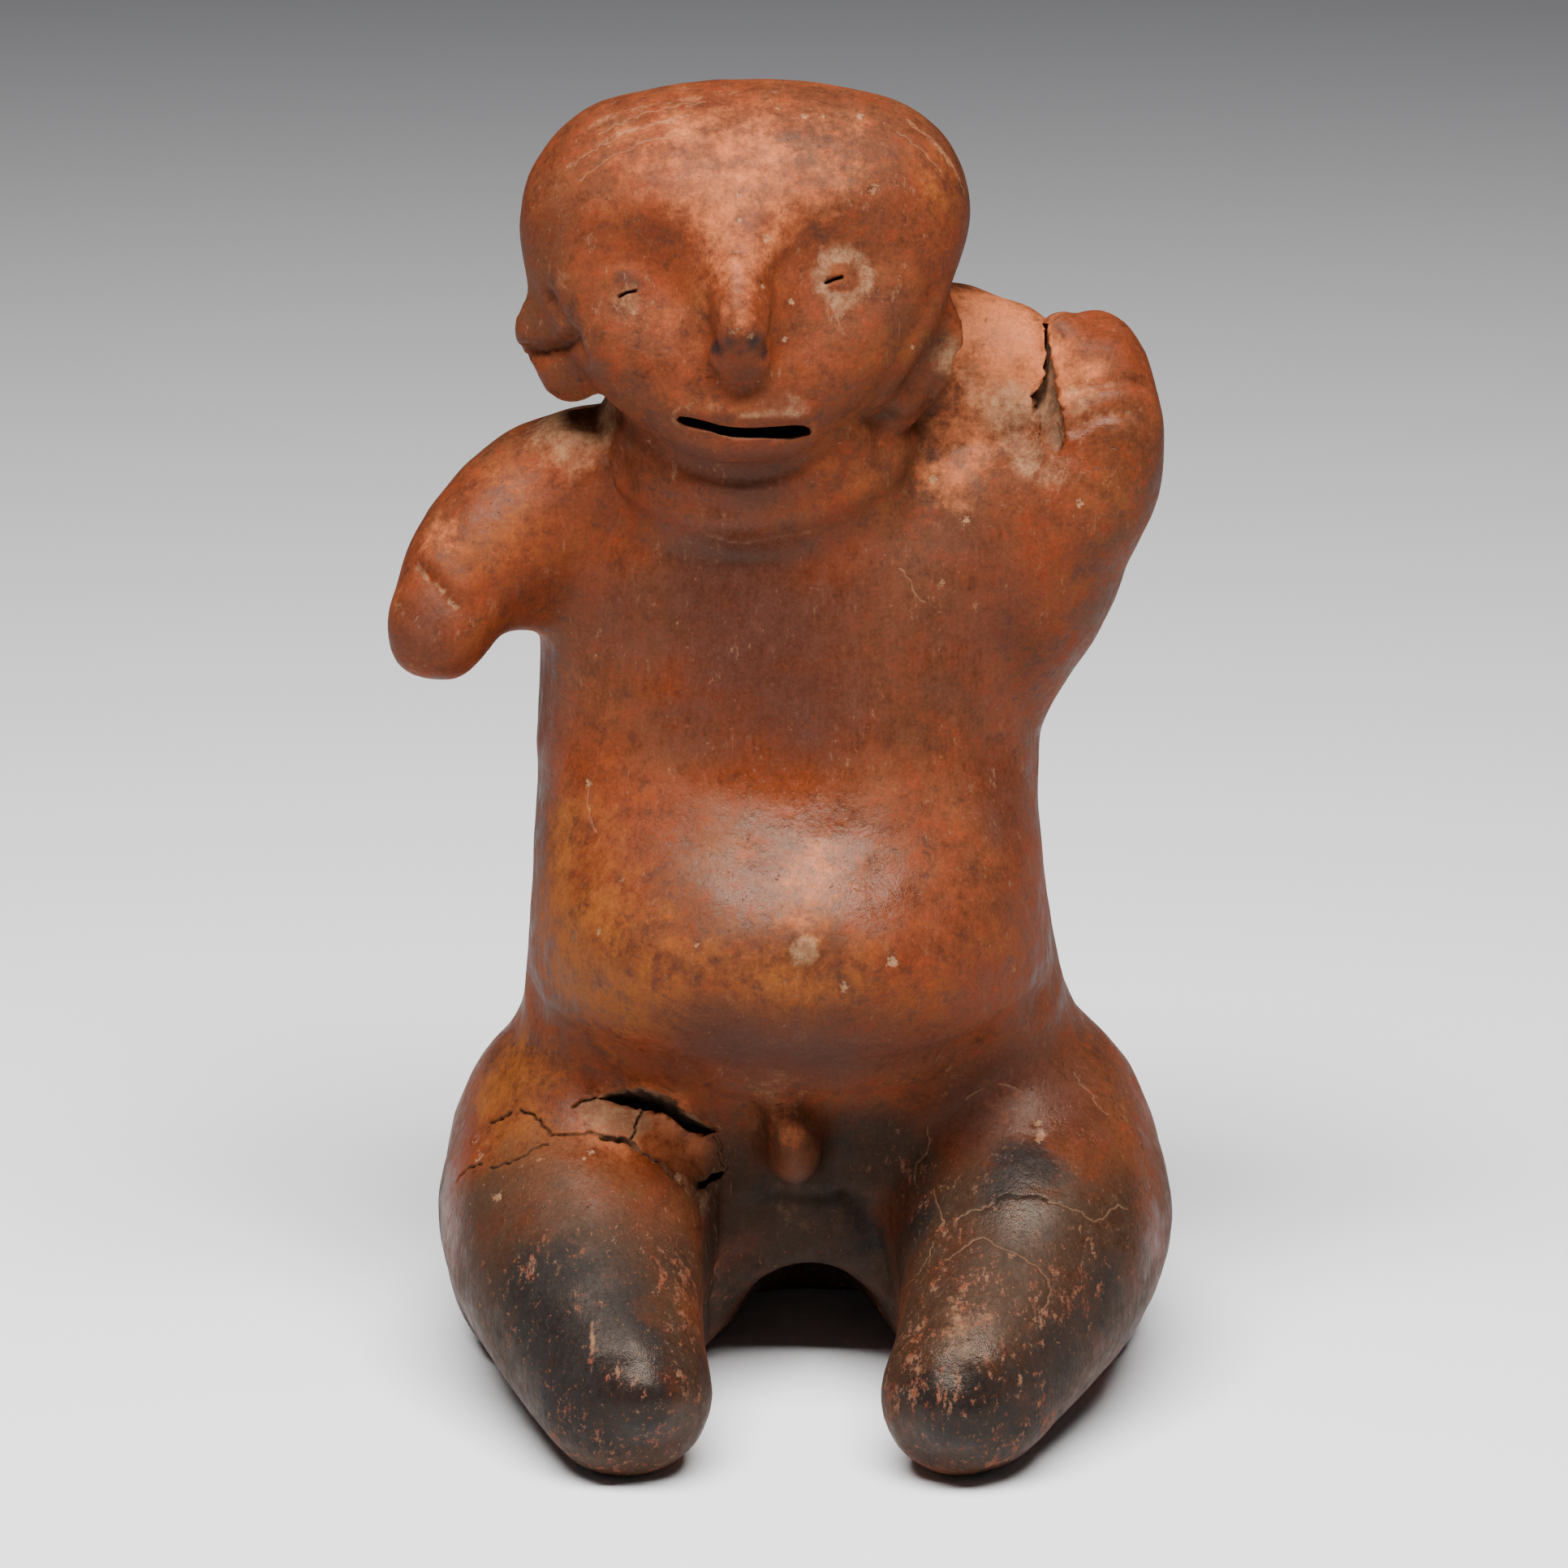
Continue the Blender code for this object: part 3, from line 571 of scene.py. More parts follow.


# Where the firing, wear and burial coloured it, and where painted shade and a painted highlight are laid:
# (column, row, radius in mm, strength) on the side that shows, and (x, y, z, radius, strength) in mm on
# the sides that don't
TINTS = {
    # Soot of the firing, and painted shade under the seat and in the groin
    "soot_and_shade": (
        [
            (883, 427, 3.0, 0.95), (898, 420, 2.0, 0.8), (930, 420, 2.6, 0.9), (941, 434, 2.0, 0.8),
            (910, 438, 1.6, 0.6), (643, 1613, 11, 0.9), (712, 1595, 13, 1.0), (690, 1650, 14, 1.0),
            (733, 1706, 13, 1.0), (781, 1716, 11, 0.9), (755, 1755, 9, 0.8), (655, 1570, 9, 0.5),
            (780, 1660, 8, 0.6), (700, 1740, 10, 0.6), (735, 1625, 9, 0.7), (1262, 1430, 7, 1.0),
            (1240, 1434, 5, 0.7), (1284, 1440, 5, 0.7), (1135, 1499, 7, 0.9), (1060, 1500, 5, 0.9),
            (1074, 1530, 5, 0.8), (1020, 1470, 6, 0.7), (1035, 1405, 8, 0.6), (1250, 1510, 12, 0.45),
            (1240, 1470, 9, 0.4), (1300, 1660, 13, 0.6), (1194, 1745, 12, 0.9), (1135, 1720, 9, 0.8),
            (1370, 1600, 12, 0.6), (1150, 1790, 8, 0.6), (1230, 1800, 8, 0.5), (1250, 1740, 10, 0.7),
            (868, 1480, 6, 0.5), (940, 1470, 6, 0.5), (960, 570, 6, 0.4),
        ],
        [
            (-60, 40, 20, 26, 0.7), (58, 45, 12, 24, 0.6), (20, 58, 150, 22, 0.35), (5, 4, 6, 18, 1.0),
            (5, -6, 10, 12, 0.9), (5, 20, 10, 20, 1.0), (-20, 60, 250, 16, 0.3), (-70, 10, 10, 18, 0.6),
            (72, 10, 10, 18, 0.6), (-52, -45, 6, 14, 0.6), (62, -45, 6, 14, 0.6),
        ],
    ),
    # Umber staining, and painted shade in the groin and arch, on the inner legs, along the feet's lower
    # rims and low on the legs' outer sides
    "umber_and_shade": (
        [
            (872, 1620, 9, 0.9), (872, 1560, 8, 0.8), (862, 1685, 9, 0.8), (840, 1765, 9, 0.6),
            (780, 1805, 9, 0.7), (1110, 1775, 8, 0.9), (1135, 1812, 9, 0.9), (1180, 1832, 9, 0.8),
            (1250, 1820, 9, 0.6), (700, 1455, 15, 0.5), (600, 1470, 12, 0.5), (770, 1480, 12, 0.4),
            (650, 1430, 12, 0.3), (1085, 1600, 8, 1.0), (1072, 1560, 8, 1.0), (820, 1430, 7, 0.4),
            (1090, 1740, 7, 0.9), (1100, 1790, 8, 0.9), (1085, 1700, 6, 0.7), (640, 1560, 14, 0.9),
            (700, 1545, 13, 0.75), (764, 1560, 12, 0.8), (815, 1600, 11, 0.45), (840, 1560, 9, 0.8),
            (833, 1650, 10, 0.8), (860, 1700, 9, 0.7), (590, 1600, 14, 0.9), (620, 1670, 14, 1.0),
            (680, 1740, 14, 1.0), (730, 1790, 12, 1.0), (880, 1600, 10, 0.9), (880, 1520, 10, 0.8),
            (575, 1520, 10, 0.6), (820, 1770, 10, 0.9), (700, 1640, 14, 0.9), (925, 1465, 8, 0.9),
            (975, 1490, 9, 1.0), (1020, 1450, 9, 0.9), (905, 1420, 7, 0.6), (1050, 1440, 14, 1.0),
            (990, 1540, 13, 1.0), (930, 1590, 10, 1.0), (1080, 1400, 9, 0.8), (1125, 1430, 9, 0.7),
            (1173, 1490, 13, 1.0), (1110, 1560, 12, 1.0), (1120, 1640, 11, 1.0), (1187, 1561, 16, 1.0),
            (1300, 1530, 15, 1.0), (1370, 1540, 14, 1.0), (1307, 1620, 16, 1.0), (1273, 1700, 15, 1.0),
            (1194, 1640, 15, 1.0), (1130, 1700, 12, 1.0), (1200, 1770, 13, 1.0), (1380, 1640, 14, 1.0),
            (1330, 1740, 12, 1.0), (1220, 1480, 11, 0.6), (1390, 1470, 10, 0.5), (650, 400, 8, 0.45),
            (700, 455, 8, 0.4), (690, 265, 10, 0.45), (670, 310, 9, 0.4), (1130, 480, 9, 0.5),
            (1150, 420, 7, 0.4), (1290, 520, 5, 0.5),
        ],
        [
            (30, 58, 60, 30, 0.5), (-40, 62, 40, 22, 0.5), (-78, 10, 30, 24, 1.0), (78, 10, 30, 24, 1.0),
            (-66, -25, 14, 20, 1.0), (72, -25, 14, 20, 1.0), (-48, -50, 8, 16, 1.0),
            (58, -52, 8, 16, 1.0), (-60, 50, 14, 26, 1.0), (60, 50, 14, 26, 1.0), (0, 40, 6, 40, 1.0),
            (44, -60, 6, 12, 0.8), (-20, -58, 6, 12, 0.8),
        ],
    ),
    # Darker maroon slip, and painted shade on the chest, under the chin and under the belly
    "maroon_and_shade": (
        [
            (930, 780, 24, 0.9), (880, 720, 12, 0.7), (1000, 880, 20, 0.6), (840, 900, 14, 0.35),
            (900, 1290, 17, 0.9), (1020, 1300, 16, 0.8), (1140, 1290, 12, 0.6), (820, 1310, 9, 0.5),
            (930, 575, 11, 0.8), (850, 560, 8, 0.7), (780, 520, 7, 0.5), (760, 740, 9, 0.4),
            (1060, 700, 12, 0.4), (1230, 960, 12, 0.6), (1240, 1020, 9, 0.5), (680, 900, 8, 0.4),
            (530, 760, 9, 0.6), (505, 790, 7, 0.5), (1100, 380, 9, 0.4), (915, 462, 5, 0.6),
            (1180, 660, 12, 0.45), (1240, 740, 14, 0.4), (700, 600, 10, 0.4), (1180, 820, 16, 0.5),
            (740, 780, 14, 0.4), (1185, 1375, 12, 0.7), (1235, 1330, 12, 0.6), (1310, 1300, 11, 0.5),
            (1340, 1390, 11, 0.5), (1290, 1370, 9, 0.4), (1330, 1465, 9, 0.4), (1230, 1400, 10, 0.5),
            (970, 500, 9, 0.4),
        ],
        [
            (-30, 58, 120, 26, 0.6), (40, 55, 180, 22, 0.5),
        ],
    ),
    "ochre": (
        [
            (720, 1120, 20, 0.7), (700, 1190, 14, 0.7), (800, 1230, 14, 0.6), (960, 1220, 16, 0.6),
            (690, 1020, 12, 0.3), (625, 1320, 13, 0.9), (640, 1400, 13, 0.6), (700, 1440, 16, 0.45),
            (600, 1470, 11, 0.4), (760, 1470, 12, 0.35), (1100, 1200, 10, 0.4), (620, 640, 12, 0.5),
            (700, 240, 14, 0.25), (665, 300, 9, 0.2), (1160, 230, 10, 0.4), (840, 1600, 9, 0.5),
            (812, 1620, 10, 0.6),
        ],
        [
            (-50, 45, 100, 24, 0.7), (50, 40, 70, 22, 0.6), (0, 30, 290, 18, 0.5),
        ],
    ),
    # Worn pale slip, and a painted highlight on the belly
    "salmon_and_highlight": (
        [
            (870, 165, 16, 0.3), (940, 220, 16, 0.35), (850, 250, 11, 0.25), (905, 320, 9, 0.55),
            (1030, 180, 14, 0.3), (905, 390, 6, 0.6), (780, 180, 12, 0.2), (1225, 420, 13, 1.0),
            (1250, 450, 9, 1.0), (1200, 545, 9, 0.6), (1160, 590, 8, 0.5), (760, 1380, 9, 1.0),
            (812, 1398, 8, 0.9), (850, 1412, 6, 0.7), (1250, 1355, 9, 0.2), (1330, 460, 8, 0.4),
            (640, 600, 8, 0.3), (540, 660, 8, 0.4), (968, 1392, 5, 0.6), (720, 560, 8, 0.5),
            (830, 420, 8, 0.3), (990, 1080, 16, 0.45),
        ],
        [
            (-20, 45, 220, 20, 0.5), (45, 30, 235, 14, 0.7),
        ],
    ),
    "flame": (
        [
            (1230, 1150, 16, 0.9), (1190, 1060, 12, 0.5), (1180, 640, 14, 0.8), (1130, 700, 12, 0.6),
            (1240, 720, 12, 0.7), (1370, 560, 12, 1.0), (1390, 640, 10, 0.8), (1350, 520, 8, 0.8),
            (1350, 1330, 12, 0.8), (1375, 1410, 10, 0.8), (740, 690, 9, 0.8), (690, 760, 8, 0.5),
            (770, 430, 9, 0.6), (800, 300, 9, 0.4), (1090, 440, 11, 0.5), (1060, 260, 11, 0.5),
            (1120, 330, 8, 0.7), (700, 640, 8, 0.5), (975, 1395, 8, 1.0), (850, 1405, 6, 0.8),
            (900, 960, 14, 0.4), (1040, 960, 10, 0.5), (600, 560, 8, 0.5), (800, 1000, 12, 0.3),
        ],
        [
            (0, 60, 200, 26, 0.5), (-45, 40, 60, 16, 0.6),
        ],
    ),
    "soil": (
        [
            (1165, 440, 5, 0.6), (1190, 465, 5, 0.6), (1225, 495, 6, 0.6), (1250, 535, 6, 0.6),
            (1270, 565, 6, 0.6), (1295, 580, 5, 0.5), (1250, 495, 6, 0.7), (1190, 620, 6, 0.2),
            (1130, 640, 6, 0.2), (740, 515, 8, 0.8), (705, 512, 9, 0.8), (680, 515, 8, 0.5),
            (735, 500, 7, 0.8), (720, 565, 7, 0.35), (990, 1172, 4.0, 0.9), (1335, 500, 6, 0.4),
            (940, 1400, 6, 0.45), (880, 1590, 6, 0.4), (870, 1480, 6, 0.4), (690, 345, 5, 0.3),
            (778, 375, 5, 0.6), (880, 500, 5, 0.3), (980, 498, 6, 0.25), (1012, 316, 3, 0.5),
            (1062, 362, 3, 0.4), (1036, 378, 3, 0.5), (1004, 350, 3, 0.3), (1262, 620, 6, 0.3),
            (732, 1368, 5, 0.9), (762, 1378, 5, 0.9), (788, 1386, 4, 0.7), (822, 1402, 4, 0.3),
            (980, 1500, 8, 0.3), (1190, 1640, 9, 0.35), (960, 1340, 8, 0.35),
        ],
        [
            (-10, 45, 215, 20, 0.4), (44, 42, 214, 12, 0.6),
        ],
    ),
    "worn": (
        [
            (826, 1764, 9, 1.0), (790, 1795, 9, 1.0), (750, 1802, 8, 0.9), (862, 1726, 8, 1.0),
            (826, 1544, 9, 0.9), (850, 1590, 9, 1.0), (884, 1560, 8, 1.0), (888, 1600, 6, 1.0),
            (830, 1500, 8, 0.6), (845, 1640, 7, 0.9), (860, 1450, 6, 0.8), (648, 1555, 7, 0.5),
            (700, 1535, 7, 0.3), (724, 1610, 5, 0.8), (728, 1660, 3, 1.0), (640, 1640, 8, 0.5),
            (700, 1730, 9, 0.6), (600, 1580, 9, 0.4), (1200, 1561, 9, 0.8), (600, 1650, 10, 0.6),
            (660, 1760, 10, 0.8), (700, 1790, 8, 0.9), (1310, 1570, 7, 0.9), (1298, 1610, 6, 0.9),
            (1156, 1540, 8, 0.9), (1348, 1650, 8, 0.5), (1240, 1600, 9, 0.5), (1210, 1625, 8, 0.7),
            (1180, 1590, 8, 0.8), (1120, 1640, 7, 0.8), (1092, 1740, 9, 1.0), (1110, 1690, 9, 1.0),
            (1221, 1790, 9, 1.0), (1290, 1760, 9, 0.9), (1150, 1650, 9, 0.8), (1370, 1700, 10, 0.8),
            (800, 1690, 9, 0.4), (1230, 1690, 10, 0.6), (1120, 1440, 8, 0.8), (1140, 1480, 7, 0.7),
            (870, 1430, 6, 0.6), (1090, 1780, 8, 1.0), (1160, 1740, 7, 0.5), (1345, 1540, 7, 0.4),
            (1390, 1560, 8, 0.3), (1080, 1600, 5, 0.9), (1330, 1500, 8, 0.5), (760, 1520, 8, 0.5),
            (740, 300, 12, 0.35), (1110, 220, 12, 0.35),
        ],
        [
            (-60, 20, 15, 24, 0.8), (60, 20, 15, 24, 0.8), (0, 45, 10, 34, 0.7), (-45, -50, 5, 16, 0.9),
            (55, -50, 5, 16, 0.9),
        ],
    ),
    "gloss": (
        [
            (1035, 1062, 13, 0.9), (930, 1100, 11, 0.6), (885, 1062, 9, 0.45), (1075, 1110, 10, 0.6),
            (1150, 1100, 10, 0.3), (770, 1400, 14, 0.8), (900, 760, 26, 0.8), (960, 930, 24, 0.7),
            (720, 840, 14, 0.6), (1180, 840, 14, 0.6), (700, 1450, 14, 0.25), (1250, 1365, 13, 0.3),
            (1330, 1400, 12, 0.8), (1250, 1480, 12, 0.8), (790, 1700, 13, 0.9), (1190, 1685, 13, 1.0),
            (1165, 1722, 9, 1.0), (600, 610, 11, 0.3), (1360, 560, 12, 0.8), (1180, 560, 9, 0.3),
            (900, 640, 9, 0.5), (560, 1480, 14, 0.6), (1390, 1500, 14, 0.7), (930, 800, 20, 0.4),
            (690, 950, 14, 0.5), (1240, 950, 14, 0.5), (1375, 495, 5, 0.3), (690, 1620, 12, 0.4),
        ],
        [
            (0, 55, 120, 40, 0.7), (-55, 30, 60, 25, 0.6), (55, 30, 60, 25, 0.6),
        ],
    ),
}

# Soil along seams and lips, and one bare streak on the right shin: marks, half width, strength
SOIL_LINES = [
    ([(1318, 482), (1343, 478), (1377, 472), (1412, 473)], 1.3, 0.5),
    ([(1330, 525), (1363, 510), (1393, 509), (1434, 519)], 1.5, 0.5),
    ([(493, 680), (515, 699), (535, 720), (560, 748)], 1.4, 0.9),
    ([(470, 730), (490, 745), (512, 768)], 1.2, 0.5),
    ([(727, 1626), (730, 1650), (733, 1674)], 0.9, 0.9),
    ([(1166, 434), (1190, 460), (1225, 490), (1255, 525), (1270, 570)], 3.0, 0.5),
    ([(835, 503), (880, 508), (930, 511), (985, 509)], 1.4, 0.45),
    ([(1000, 522), (1004, 532), (998, 542)], 1.4, 0.45),
    ([(830, 510), (828, 518), (836, 526)], 1.4, 0.45),
    ([(840, 645), (905, 668), (955, 664), (1000, 655), (1040, 638)], 1.6, 0.35),
    ([(690, 185), (760, 140), (850, 122), (960, 112)], 2.0, 0.45),
    ([(700, 205), (760, 165), (830, 148)], 1.2, 0.4),
    ([(1120, 150), (1160, 185), (1182, 220)], 2.0, 0.5),
]

# Ring of soil round the left eye: column, row, inner and outer radius, and how softly they fade
EYE_RING = (1039, 342, 2.8, 8.6)
EYE_RING_FADES = (1.2, 2.2)
EYE_RING_STRENGTH = 0.58

# Grey rubbed place over the right eye
GREY_PAD = [(765, 344), (776, 342), (787, 349)]
GREY_PAD_HALF_WIDTH = 3.8
GREY_PAD_STRENGTH = 0.5

# Chips: (column, row, radius)
CHIPS = [
    (909, 240, 0.7), (912, 270, 0.5), (945, 293, 1.1), (940, 352, 0.7), (934, 470, 0.5), (900, 410, 1.0),
    (926, 415, 1.0), (912, 408, 0.8), (1075, 235, 1.2), (1080, 228, 0.7), (1125, 427, 0.6),
    (960, 132, 0.8), (990, 143, 0.7), (1012, 144, 0.7), (1060, 143, 0.9), (800, 545, 0.5),
    (1035, 545, 0.5), (975, 372, 0.7), (967, 418, 0.6), (1100, 1185, 1.3), (1250, 1195, 0.9),
    (737, 1148, 0.9), (1280, 1400, 1.6), (1276, 1385, 1.1), (805, 1430, 0.6), (836, 1450, 1.1),
    (728, 1420, 0.6), (665, 1428, 0.7), (720, 1428, 0.5), (585, 1405, 1.3), (590, 1425, 1.4),
    (612, 1475, 1.3), (1170, 560, 0.9), (1330, 620, 0.8), (1150, 590, 1.0), (1190, 640, 1.0),
    (1160, 720, 1.0), (725, 965, 0.9), (860, 1165, 0.7), (1040, 1215, 1.0),
]


def add_values(clay, name, values):
    attribute = clay.data.attributes.new(name, "FLOAT", "POINT")
    attribute.data.foreach_set("value", np.asarray(values, dtype=np.float32))


def tint(points, tree, shown, unseen):
    """How strongly each point takes a tint, from soft round patches that run together."""
    rest = np.ones(len(points))
    patches = [(seen(tree, column, row), radius, strength) for column, row, radius, strength in shown]
    patches += [(Vector((x, y, z)) * MM, radius, strength) for x, y, z, radius, strength in unseen]
    for centre, radius, strength in patches:
        share = np.linalg.norm(points - np.array(centre), axis=1) / (radius * MM)
        rest *= 1 - strength * np.exp(-(share**2))
    return 1 - rest


def write_tints(clay, tree):
    points = vertex_values(clay, "co")
    for name, (shown, unseen) in TINTS.items():
        values = tint(points, tree, shown, unseen)
        if name == "soil":
            for marks, half_width, strength in SOIL_LINES:
                distance = distance_to_path(points, path_of(tree, marks))
                values = np.maximum(values, strength * fall_off(distance, half_width * MM))
            column, row, inner, outer = EYE_RING
            distance = np.linalg.norm(points - np.array(seen(tree, column, row)), axis=1) / MM
            inner_fade, outer_fade = EYE_RING_FADES
            ring = np.clip((distance - inner) / inner_fade, 0, 1)
            ring *= np.clip((outer - distance) / outer_fade, 0, 1)
            values = np.maximum(values, EYE_RING_STRENGTH * ring)
        if name == "soot_and_shade":
            distance = distance_to_path(points, path_of(tree, GREY_PAD))
            values = np.maximum(values, GREY_PAD_STRENGTH * fall_off(distance, GREY_PAD_HALF_WIDTH * MM))
        add_values(clay, name, values)
    # Depth into each opening, scaled by its strength of painted shade, which colours the inside umber and
    # near-black
    depth = np.zeros(len(points))
    for outline, *_, painted_darkness in OPENINGS.values():
        rim = path_of(tree, outline)
        middle = sum(rim) / len(rim)
        near = np.linalg.norm(points - middle, axis=1) < OPENING_REACH * MM
        for index in np.flatnonzero(near):
            depth[index] = painted_darkness * tree.find_nearest(Vector(points[index]))[3] / MM
    add_values(clay, "depth", depth)


# Material


class Nodes:
    """Short ways to add and join the nodes of one material."""

    def __init__(self, material):
        self.tree = material.node_tree
        self.shader = self.tree.nodes["Principled BSDF"]
        coordinates = self.tree.nodes.new("ShaderNodeTexCoord")
        self.place = coordinates.outputs["Object"]

    def join(self, value, socket):
        if isinstance(value, bpy.types.NodeSocket):
            self.tree.links.new(value, socket)
        else:
            socket.default_value = value

    def moved(self, scale=(1, 1, 1), turn=(0, 0, 0), shift=(0, 0, 0)):
        node = self.tree.nodes.new("ShaderNodeMapping")
        self.join(self.place, node.inputs["Vector"])
        node.inputs["Scale"].default_value = scale
        node.inputs["Rotation"].default_value = [math.radians(angle) for angle in turn]
        node.inputs["Location"].default_value = shift
        return node.outputs["Vector"]

    def noise(self, scale, detail=4.0, roughness=0.55, vector=None):
        node = self.tree.nodes.new("ShaderNodeTexNoise")
        self.join(vector or self.place, node.inputs["Vector"])
        node.inputs["Scale"].default_value = scale
        node.inputs["Detail"].default_value = detail
        node.inputs["Roughness"].default_value = roughness
        return node.outputs["Fac"]

    def attribute(self, name):
        node = self.tree.nodes.new("ShaderNodeAttribute")
        node.attribute_name = name
        return node.outputs["Fac"]

    def maths(self, operation, first, second=0.0, third=0.0, clamp=False):
        node = self.tree.nodes.new("ShaderNodeMath")
        node.operation = operation
        node.use_clamp = clamp
        self.join(first, node.inputs[0])
        self.join(second, node.inputs[1])
        self.join(third, node.inputs[2])
        return node.outputs[0]

    def between(self, value, low, high, start=0.0, end=1.0):
        node = self.tree.nodes.new("ShaderNodeMapRange")
        node.interpolation_type = "SMOOTHSTEP"
        self.join(value, node.inputs["Value"])
        ends = {"From Min": low, "From Max": high, "To Min": start, "To Max": end}
        for name, number in ends.items():
            node.inputs[name].default_value = number
        return node.outputs["Result"]

    def mix(self, share, first, second):
        node = self.tree.nodes.new("ShaderNodeMix")
        node.data_type = "RGBA"
        self.join(share, node.inputs[0])
        for colour, socket in ((first, node.inputs[6]), (second, node.inputs[7])):
            self.join(colour if isinstance(colour, bpy.types.NodeSocket) else (*colour, 1.0), socket)
        return node.outputs[2]

    def shaded(self, colour, value):
        node = self.tree.nodes.new("ShaderNodeHueSaturation")
        self.join(colour, node.inputs["Color"])
        self.join(value, node.inputs["Value"])
        return node.outputs["Color"]

    def swing(self, pattern, share, value):
        """A value that a pattern moves up and down about its middle."""
        return self.maths("MULTIPLY_ADD", self.maths("SUBTRACT", pattern, 0.5), share, value)

    def bump(self, height, strength, distance, normal=None):
        node = self.tree.nodes.new("ShaderNodeBump")
        self.join(height, node.inputs["Height"])
        node.inputs["Strength"].default_value = strength
        node.inputs["Distance"].default_value = distance
        if normal:
            self.join(normal, node.inputs["Normal"])
        return node.outputs["Normal"]


# Colours of the slip, of what wore, burnt and stained it, and of the clay inside; umber, soot and maroon
# also serve as painted shade, salmon as a painted highlight, and the hollow colour as painted shade in
# cracks and openings
SLIP_RED = (0.122, 0.025, 0.008)
SLIP_BROWN = (0.080, 0.025, 0.011)
SLIP_OCHRE = (0.150, 0.043, 0.009)
SLIP_FLAME = (0.138, 0.019, 0.005)
SLIP_MAROON_AND_SHADE = (0.056, 0.019, 0.012)
WORN_SALMON_AND_HIGHLIGHT = (0.36, 0.105, 0.040)
UMBER_AND_PAINTED_SHADE = (0.028, 0.016, 0.010)
SOOT_AND_PAINTED_SHADE = (0.011, 0.010, 0.010)
BARE_RED = (0.145, 0.042, 0.022)
BARE_TAN = (0.145, 0.072, 0.043)
SOIL_TAN = (0.180, 0.086, 0.046)
SOIL_PALE = (0.270, 0.155, 0.085)
PASTE = (0.085, 0.042, 0.024)
PAINTED_HOLLOW_SHADE = (0.004, 0.003, 0.003)

# The burnish: how much it shines and in what colour, and its roughness from dull to glossy
SHINE = 0.14
SHINE_TINT = (1.0, 0.82, 0.69, 1.0)
ROUGHNESS_DULL = 0.60
ROUGHNESS_GLOSSY = 0.15

# Height in metres over which the burnishing strokes turn from upright to level
NECK_HEIGHT = (0.212, 0.228)


